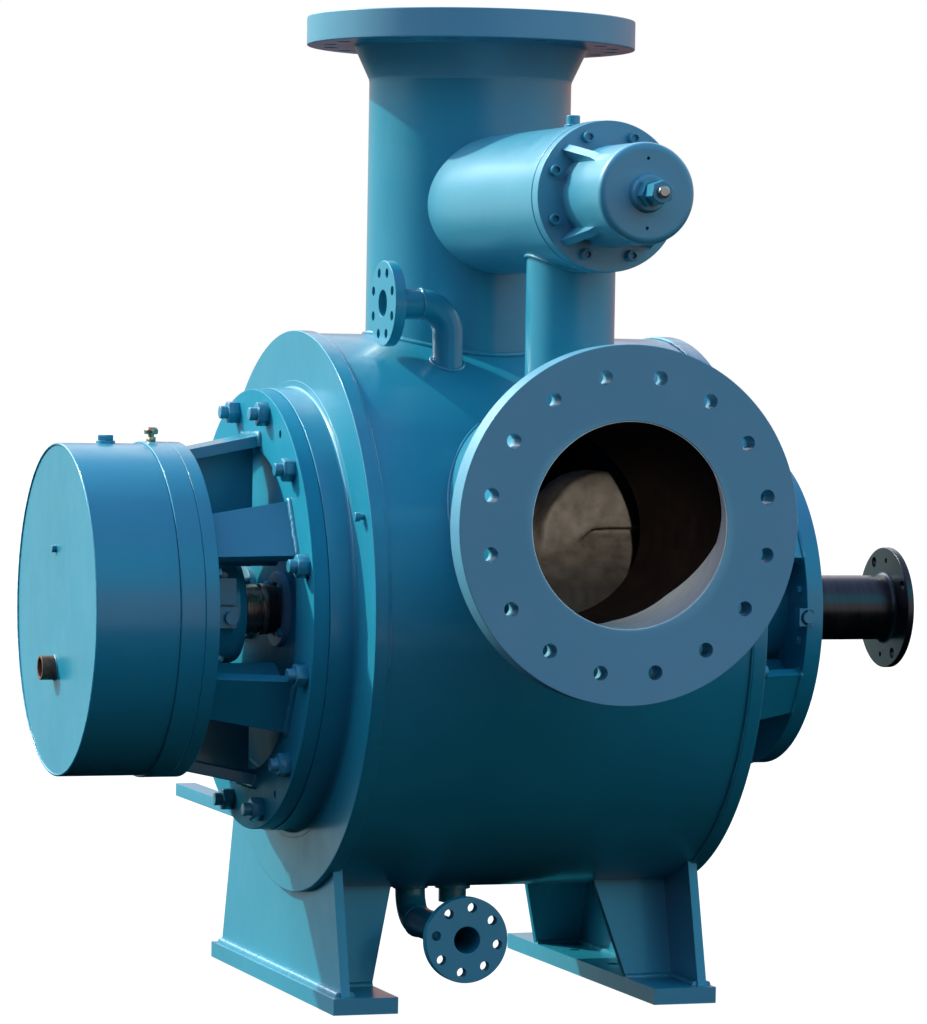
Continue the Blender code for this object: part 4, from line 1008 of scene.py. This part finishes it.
# Pipe under the relief valve. A 6 inch pipe leads from the discharge neck up to the
# valve and is saddle welded to both.
DOWN_R, DOWN_Y = 84.15, -602.0
down_top, down_foot = [], []
for x, back in around(DOWN_R, ROUND):
    down_top.append(Vector((x, DOWN_Y + back, VALVE_Z - math.sqrt(VALVE_R ** 2 - x ** 2))))
    down_foot.append(Vector((x, DOWN_Y + back, DISCHARGE_Z + math.sqrt(MAIN_R ** 2 - x ** 2))))
sunk = Vector((0, 0, 3))
piece("relief_return_pipe",
      box_between([[point - sunk for point in down_foot], [point + sunk for point in down_top]]),
      plate_blue, ["relief_down_pipe"])
weld("relief_return_welds",
     [([point + (point - Vector((0, DOWN_Y, point.z))).normalized() * 2 for point in ring], True)
      for ring in (down_top, down_foot)], 4.0, 1.6)

# Vent and drain lines. Two inch elbows, welded to the casing, end in small flanges
# with eight holes for the pipework to come.
SMALL_FLANGE_R, SMALL_FLANGE_THICK, ELBOW_R = 83.5, 22.0, 57.0


def elbow(start, corner, end):
    first, second = (start - corner).normalized(), (end - corner).normalized()
    middle = corner + (first + second) * ELBOW_R
    path = [start]
    for step in range(17):
        angle = math.pi / 2 * step / 16
        path.append(middle - second * ELBOW_R * math.cos(angle)
                    - first * ELBOW_R * math.sin(angle))
    return path + [end]


def bent_pipe(path, outer, inner, sides=48):
    bm = bmesh.new()
    across = (path[1] - path[0]).cross(path[-1] - path[-2]).normalized()
    loops = {outer: [], inner: []}
    for index, point in enumerate(path):
        forward = (path[min(index + 1, len(path) - 1)] - path[max(index - 1, 0)]).normalized()
        side = across.cross(forward)
        for radius, rings in loops.items():
            rings.append([bm.verts.new(point + across * right + side * up)
                          for right, up in around(radius, sides)])
    for rings in loops.values():
        strips(bm, rings)
    for end in (0, -1):
        strips(bm, [loops[outer][end], loops[inner][end]])
    return bm


VENT_FACE_X, DRAIN_FACE_Y = -255.0, -385.0
LINES = {
    "vent": ("x", Vector((VENT_FACE_X, VENT.y, VENT.z)), Vector((1, 0, 0)), VENT,
             Vector((VENT.x, VENT.y, 1240.0)), 22.5),
    "drain": ("y", Vector((DRAIN.x, DRAIN_FACE_Y, DRAIN.z)), Vector((0, 1, 0)), DRAIN,
              Vector((DRAIN.x, DRAIN.y, 214.0)), 9.0),
}
for name, (axis, face, inward, corner, end, start_angle) in LINES.items():
    piece(f"{name}_flange_forging",
          turned([(SMALL_BORE, 0, 1.5), (SMALL_FLANGE_R, 0, 2),
                  (SMALL_FLANGE_R, SMALL_FLANGE_THICK, 2), (SMALL_BORE, SMALL_FLANGE_THICK)],
                 axis, face, 96), plate_blue, [f"{name}_flange"],
          cuts=[hole_circle(9.5, 63.5, 8, axis, face, -30, 60, start_angle)])
    neck_at = face + inward * SMALL_FLANGE_THICK
    piece(f"{name}_elbow_pipe",
          bent_pipe(elbow(neck_at - inward * 0.3, corner, end), SMALL_R, SMALL_BORE),
          plate_blue, [f"{name}_pipe"])
    way = "xyz".index(axis)
    middle = Vector(face)
    middle[way] = 0
    foot_ring = saddle(SMALL_R + 2, end.x, end.y, 1 if name == "vent" else -1, 1)
    flange_ring = circle(SMALL_R + 1.5, axis, middle, neck_at[way] + 2, 48)
    bend_ring = circle(SMALL_R - 1.2, axis, middle, (corner - inward * ELBOW_R)[way], 48)
    weld(f"{name}_line_welds", [(ring, True) for ring in (foot_ring, flange_ring, bend_ring)],
         3.6, 1.6)
piece("drain_boss_socket",
      turned([(0, 171), (28, 171, 2), (28, 199, 0), (36, 199, 1), (36, 228, 0), (0, 228)],
             "z", (-10, 0, 0), 48), plate_blue, ["drain_boss"])

# Feet. Each is a web plate with two gussets on a thick base plate, welded along a
# heavy bead, and a flat bar runs back from its top along the casing.
PLATE_X, BASE_WIDE, BASE_THICK = {"left": -367.0, "right": 296.0}, 131.0, 32.0
BASE_FRONT, BASE_REAR = -348.0, 520.0
WEB_X, WEB_THICK = {"left": -346.0, "right": 396.0}, 19.0
WEB_FRONT, WEB_REAR, WEB_TOP, EDGE_SLOPE = -329.0, 514.0, 303.0, 0.273
GUSSET_Y, GUSSET_THICK, GUSSET_WIDEN = {"front": -178.0, "rear": 350.0}, 18.0, 0.28
BAR_FRONT, BAR_REAR, BAR_WIDE, BAR_THICK = 250.0, 898.0, 45.0, 27.0
SINK = 1.5


def casing_solid():
    """The casing without its holes, a little smaller, so that what it cuts sinks into it."""
    left, right = END_FACE["left"] + 1, END_FACE["right"] - 1
    ring_left, ring_right = left + END_THICK - 2, right - END_THICK + 2
    return turned([(0, left), (END_R - SINK, left), (END_R - SINK, ring_left),
                   (BARREL_R - SINK, ring_left), (BARREL_R - SINK, ring_right),
                   (END_R - SINK, ring_right), (END_R - SINK, right), (0, right)],
                  "x", CASING_AXIS, FINEST, 0)


def block(x_low, x_high, y_low, y_high, z_low, z_high):
    return wall((x_low, x_high),
                ((y_low, z_low), (y_high, z_low), (y_high, z_high), (y_low, z_high)))


for side, low in PLATE_X.items():
    high = low + BASE_WIDE
    inward = INWARD[side]
    anchor_x = high - 50 if side == "left" else low + 50
    piece(f"base_plate_{side}_slab", block(low, high, BASE_FRONT, BASE_REAR, 0, BASE_THICK),
          plate_blue, [f"base_plate_{side}"], bevel=1.8,
          cuts=[rod(13, "z", (anchor_x, y, 0), -20, 60, 32) for y in (12, 234)])
    web_low, web_high = WEB_X[side], WEB_X[side] + WEB_THICK
    lean = EDGE_SLOPE * (WEB_TOP - BASE_THICK)
    web = wall((web_low, web_high),
               ((WEB_FRONT, BASE_THICK - 0.5), (WEB_REAR, BASE_THICK - 0.5),
                (WEB_REAR - lean, WEB_TOP), (WEB_FRONT + lean, WEB_TOP)))
    gussets, seams = [], []
    web_face = web_high if side == "left" else web_low
    edge = (high if side == "left" else low) - inward * 2
    for place, y in GUSSET_Y.items():
        tilt = 1 if place == "front" else -1
        sections = []
        for z in (BASE_THICK - 0.5, 330.0):
            rise = z - BASE_THICK
            near = y + tilt * EDGE_SLOPE * rise - GUSSET_THICK / 2
            free = edge + inward * GUSSET_WIDEN * rise
            sections.append([Vector((web_face - inward * 3, near, z)), Vector((free, near, z)),
                             Vector((free, near + GUSSET_THICK, z)),
                             Vector((web_face - inward * 3, near + GUSSET_THICK, z))])
        gussets.append(box_between(sections))
        seams.append(([(edge, y - GUSSET_THICK / 2, BASE_THICK + 1),
                       (web_face, y - GUSSET_THICK / 2, BASE_THICK + 1)], False))
    piece(f"foot_{side}_web", web, plate_blue, [f"foot_{side}"], joins=gussets, bevel=1.2,
          cuts=[casing_solid()])
    outer_x = web_low - 3 if side == "left" else web_high + 3
    seams += [([(outer_x, WEB_FRONT + 6, BASE_THICK + 2), (outer_x, WEB_REAR - 6, BASE_THICK + 2)],
               False),
              ([(web_face + inward * 3, WEB_FRONT + 6, BASE_THICK + 2),
                (web_face + inward * 3, WEB_REAR - 6, BASE_THICK + 2)], False)]
    weld(f"foot_{side}_welds", seams, 7.5, 4.0)
    bar_low = web_low if side == "left" else web_high - BAR_WIDE
    piece(f"rear_bar_{side}_flat",
          block(bar_low, bar_low + BAR_WIDE, BAR_FRONT, BAR_REAR, WEB_TOP - 0.5,
                WEB_TOP + BAR_THICK), plate_blue, [f"rear_bar_{side}"], bevel=1.5,
          cuts=[casing_solid()])

# Small fittings. An oil plug and a brass breather on top of the gear case, a level plug
# and a threaded pipe stub on its end plate, a plug on the casing's left end ring and
# one on the relief valve.
brass = metal("breather_brass", (0.38, 0.29, 0.17), (0.62, 0.50, 0.33), 0.30, 1.0,
              (200, 200, 200), 0.00003)
top_z = AXIS_Z + GEAR_CASE_R
oil_plug = with_spindle(hexagon(30.0, 5.0, 16.0),
                        [(0, -4), (19, -4, 0), (19, 5, 1.5), (0, 5)], 32)
single("oil_filler_plug", oil_plug, "+z", (-745, 0, top_z), fastener_blue, 15)
breather = with_spindle(hexagon(17.0, 0.0, 9.0),
                        [(0, 8), (6, 8, 0), (6, 14, 0), (13.5, 14, 2), (14, 22, 2), (11, 28, 4),
                         (0, 28)], 32)
single("gear_case_breather", breather, "+z", (-653, 0, AXIS_Z + 331), brass)
level_plug = with_spindle(hexagon(13.0, 0.0, 9.0), [(0, 0), (8, 0, 0), (8, 2, 0.5), (0, 2)])
single("level_plug", level_plug, "-x", (END_PLATE_X, 10, 884), fastener_blue, 10)
STUB_AT = (0, 10, 650)
stub = turned([(19, GEAR_END_X + 4), (24, GEAR_END_X + 4, 0), (24, GEAR_END_X - 28, 1.5),
               (19, GEAR_END_X - 28, 1.5)], "x", STUB_AT, 48)
rust_thread = metal("thread_primer", (0.10, 0.045, 0.025), (0.24, 0.13, 0.08), 0.55, 0.3,
                    (80, 80, 80), 0.0002)
piece("drain_stub", stub, rust_thread)
piece("casing_end_plug",
      turned([(0, -364), (6, -364, 0), (6, -371, 0), (9, -371, 1), (9, -381, 1.5), (0, -381)],
             "x", (0, -476, 967), 24), fastener_blue)
weld("gear_case_welds", [(circle(GEAR_CASE_R - 3, "x", COVER_AXIS, GEAR_END_X + 1.2), True),
                         (circle(24, "x", STUB_AT, GEAR_END_X + 1, 40), True)], 2.2, 1.6)
valve_plug = turned([(0, 125), (17, 125, 0), (17, 140, 1), (13, 141, 1), (13, 158, 2), (0, 158)],
                    "z", (0, -600, VALVE_Z), 32)
piece("relief_valve_vent_plug", valve_plug, fastener_blue)

# Fittings in the lanterns. A grease block with a round union stands on the left front
# housing, a like one on the rim of the right plate, with small hexagon screws about.
grease = block(-585, -541, -240, -190, 742, 783)
piece("grease_block", grease, plate_blue, bevel=2.5,
      joins=[block(-585, -541, -234, -180, 787, 838),
             rod(13, "y", (-553, 0, 762), -252, -230, 40)])
clip = block(603, 634, -322, -296, 746, 782)
piece("grease_clip", clip, plate_blue, bevel=1.5,
      joins=[rod(11, "y", (622, 0, 763), -326, -300, 40)],
      cuts=[turned([(11.5, -330), (16, -330), (16, -312), (11.5, -312)], "y",
                   (622, 0, 763), 40, 0)])
small_screw = hexagon(15.0, 0.0, 9.0)
for index, (facing, at) in enumerate((
        ("+x", (-599.5, -300, 852)), ("+x", (-599.5, -300, 686)), ("+x", (-599.5, -90, 1051)),
        ("-y", (-558, -196, 842)), ("-y", (-556, -168, 679)), ("-x", (620.5, -285, 817)),
        ("-x", (620.5, -285, 716)))):
    single(f"lantern_screw_{index + 1}", small_screw, facing, at, fastener_blue, 25 * index)

# Stage. A plain pale floor and a white surround; the sun stands behind the pump on its
# gear case side, and the sky fills the rest, darker towards the ground.
FLOOR_HALF, FLOOR_Z = 60.0, -0.001
floor_mesh = bpy.data.meshes.new("floor")
floor_mesh.from_pydata([(x * FLOOR_HALF, y * FLOOR_HALF, FLOOR_Z) for x, y in
                        ((-1, -1), (1, -1), (1, 1), (-1, 1))], [], [(0, 1, 2, 3)])
floor = placed("floor", floor_mesh)
floor_paint = bpy.data.materials.new("pale_floor")
floor_paint.use_nodes = True
for socket, value in (("Base Color", (0.10, 0.10, 0.10, 1.0)), ("Roughness", 1.0),
                      ("Specular IOR Level", 0.0), ("Emission Color", (1.0, 1.0, 1.0, 1.0)),
                      ("Emission Strength", 1.0)):
    surface(floor_paint)[socket].default_value = value
floor_mesh.materials.append(floor_paint)
floor.visible_diffuse = False
floor.visible_glossy = False

scene = bpy.context.scene
scene.view_settings.view_transform = "Standard"
scene.view_settings.look = "None"
world = bpy.data.worlds.new("surround")
scene.world = world
world.use_nodes = True
sky = world.node_tree
place = add_node(sky, "ShaderNodeTexCoord").outputs["Generated"]
split = add_node(sky, "ShaderNodeSeparateXYZ", {"Vector": place})
height = add_node(sky, "ShaderNodeMapRange",
                  {"Value": split.outputs["Z"], "From Min": -1.0, "From Max": 1.0})


def sky_ramp(low, middle):
    """Three bands of colour by the sine of the height, over a ground that gives no light."""
    ramp = add_node(sky, "ShaderNodeValToRGB", {"Fac": height.outputs["Result"]})
    stops = ((-0.20, GROUND), (-0.10, low), (0.22, low), (0.34, middle), (0.64, middle),
             (0.76, SKY_TOP))
    while len(ramp.color_ramp.elements) < len(stops):
        ramp.color_ramp.elements.new(1.0)
    for element, (sine, colour) in zip(ramp.color_ramp.elements, stops):
        element.position = (sine + 1) / 2
        element.color = (*(channel / SKY_STRENGTH for channel in colour), 1.0)
    return ramp.outputs["Color"]


def sky_side(axis, first, second):
    """Blend two skies from one side of the pump to the other."""
    share = add_node(sky, "ShaderNodeMapRange",
                     {"Value": split.outputs[axis], "From Min": -0.2, "From Max": 0.2})
    return add_node(sky, "ShaderNodeMix", {0: share.outputs["Result"], 6: first, 7: second},
                    data_type="RGBA").outputs[2]


SKY_STRENGTH = 5.0
GROUND, SKY_TOP = (0.0, 0.001, 0.002), (0.36, 0.47, 0.89)
front_sky = sky_side("X", sky_ramp((0.06, 0.05, 0.05), (0.52, 0.47, 0.79)),
                     sky_ramp((0.72, 0.64, 0.62), (0.27, 1.07, 1.50)))
rear_sky = sky_side("X", sky_ramp((0.44, 0.62, 0.65), (3.31, 3.96, 4.65)),
                    sky_ramp((0.64, 0.34, 0.26), (1.30, 1.25, 1.35)))
background = sky.nodes["Background"]
sky.links.new(sky_side("Y", front_sky, rear_sky), background.inputs["Color"])
background.inputs["Strength"].default_value = SKY_STRENGTH
white = add_node(sky, "ShaderNodeBackground", {"Color": (1.0, 1.0, 1.0, 1.0)})
path = add_node(sky, "ShaderNodeLightPath")
choose = add_node(sky, "ShaderNodeMixShader",
                  {"Fac": path.outputs["Is Camera Ray"], 1: background.outputs["Background"],
                   2: white.outputs["Background"]})
sky.links.new(choose.outputs["Shader"], sky.nodes["World Output"].inputs["Surface"])


def aim(obj, direction):
    obj.rotation_euler = direction.to_track_quat("-Z", "Y").to_euler()


sun = bpy.data.lights.new("sun", "SUN")
sun.energy = 3.81
sun.angle = math.radians(1.2)
sun.color = (0.953, 1.0, 0.861)
aim(placed("sun", sun), Vector((1.0, -0.92, -1.05)))

# Lamp. A narrow spot high on the left throws its light through the discharge bore
# alone, and brings out the casting inside.
lamp = bpy.data.lights.new("bore_lamp", "SPOT")
lamp.energy = 720.0
lamp.color = (1.0, 0.95, 0.86)
lamp.shadow_soft_size = 0.04
LAMP_AT, LAMP_AIM = Vector((-1370.0, -5280.0, 1700.0)), Vector((0.0, -939.0, DISCHARGE_Z))
LIT_R = 160.0
lamp.spot_size = 2 * math.atan(LIT_R / (LAMP_AIM - LAMP_AT).length)
lamp.spot_blend = 0.04
lamp_object = placed("bore_lamp", lamp)
lamp_object.location = (LAMP_AT - PUMP_MIDDLE) * MM
aim(lamp_object, LAMP_AIM - LAMP_AT)

# Camera. It stands at the photograph's viewing angle, left of the discharge flange and
# a little above its middle, with a long lens.
CAMERA_AT = Vector((-2929.1, -8518.0, 1272.6))
CAMERA_TURN = (18.98, -1.99, 0.95)
yaw, pitch, roll = (math.radians(angle) for angle in CAMERA_TURN)
forward = Vector((math.sin(yaw) * math.cos(pitch), math.cos(yaw) * math.cos(pitch),
                  math.sin(pitch)))
level = Vector((math.cos(yaw), -math.sin(yaw), 0.0))
upward = level.cross(forward)
across = level * math.cos(roll) + upward * math.sin(roll)
above = upward * math.cos(roll) - level * math.sin(roll)
camera = bpy.data.cameras.new("camera")
camera.sensor_width = 36.0
camera.lens = 156.94
camera.clip_end = 200.0
camera_object = placed("camera", camera)
matrix = Matrix((across, above, -forward)).transposed().to_4x4()
matrix.translation = (CAMERA_AT - PUMP_MIDDLE) * MM
camera_object.matrix_world = matrix
scene.camera = camera_object

# Patterns of the fasteners. Their copies are in place, so the patterns themselves go.
for pattern in (cover_nut, gland_nut, cap_screw, cap_bolt, lock_nut, small_nut, oil_plug,
                breather, level_plug, small_screw):
    bpy.data.objects.remove(pattern)
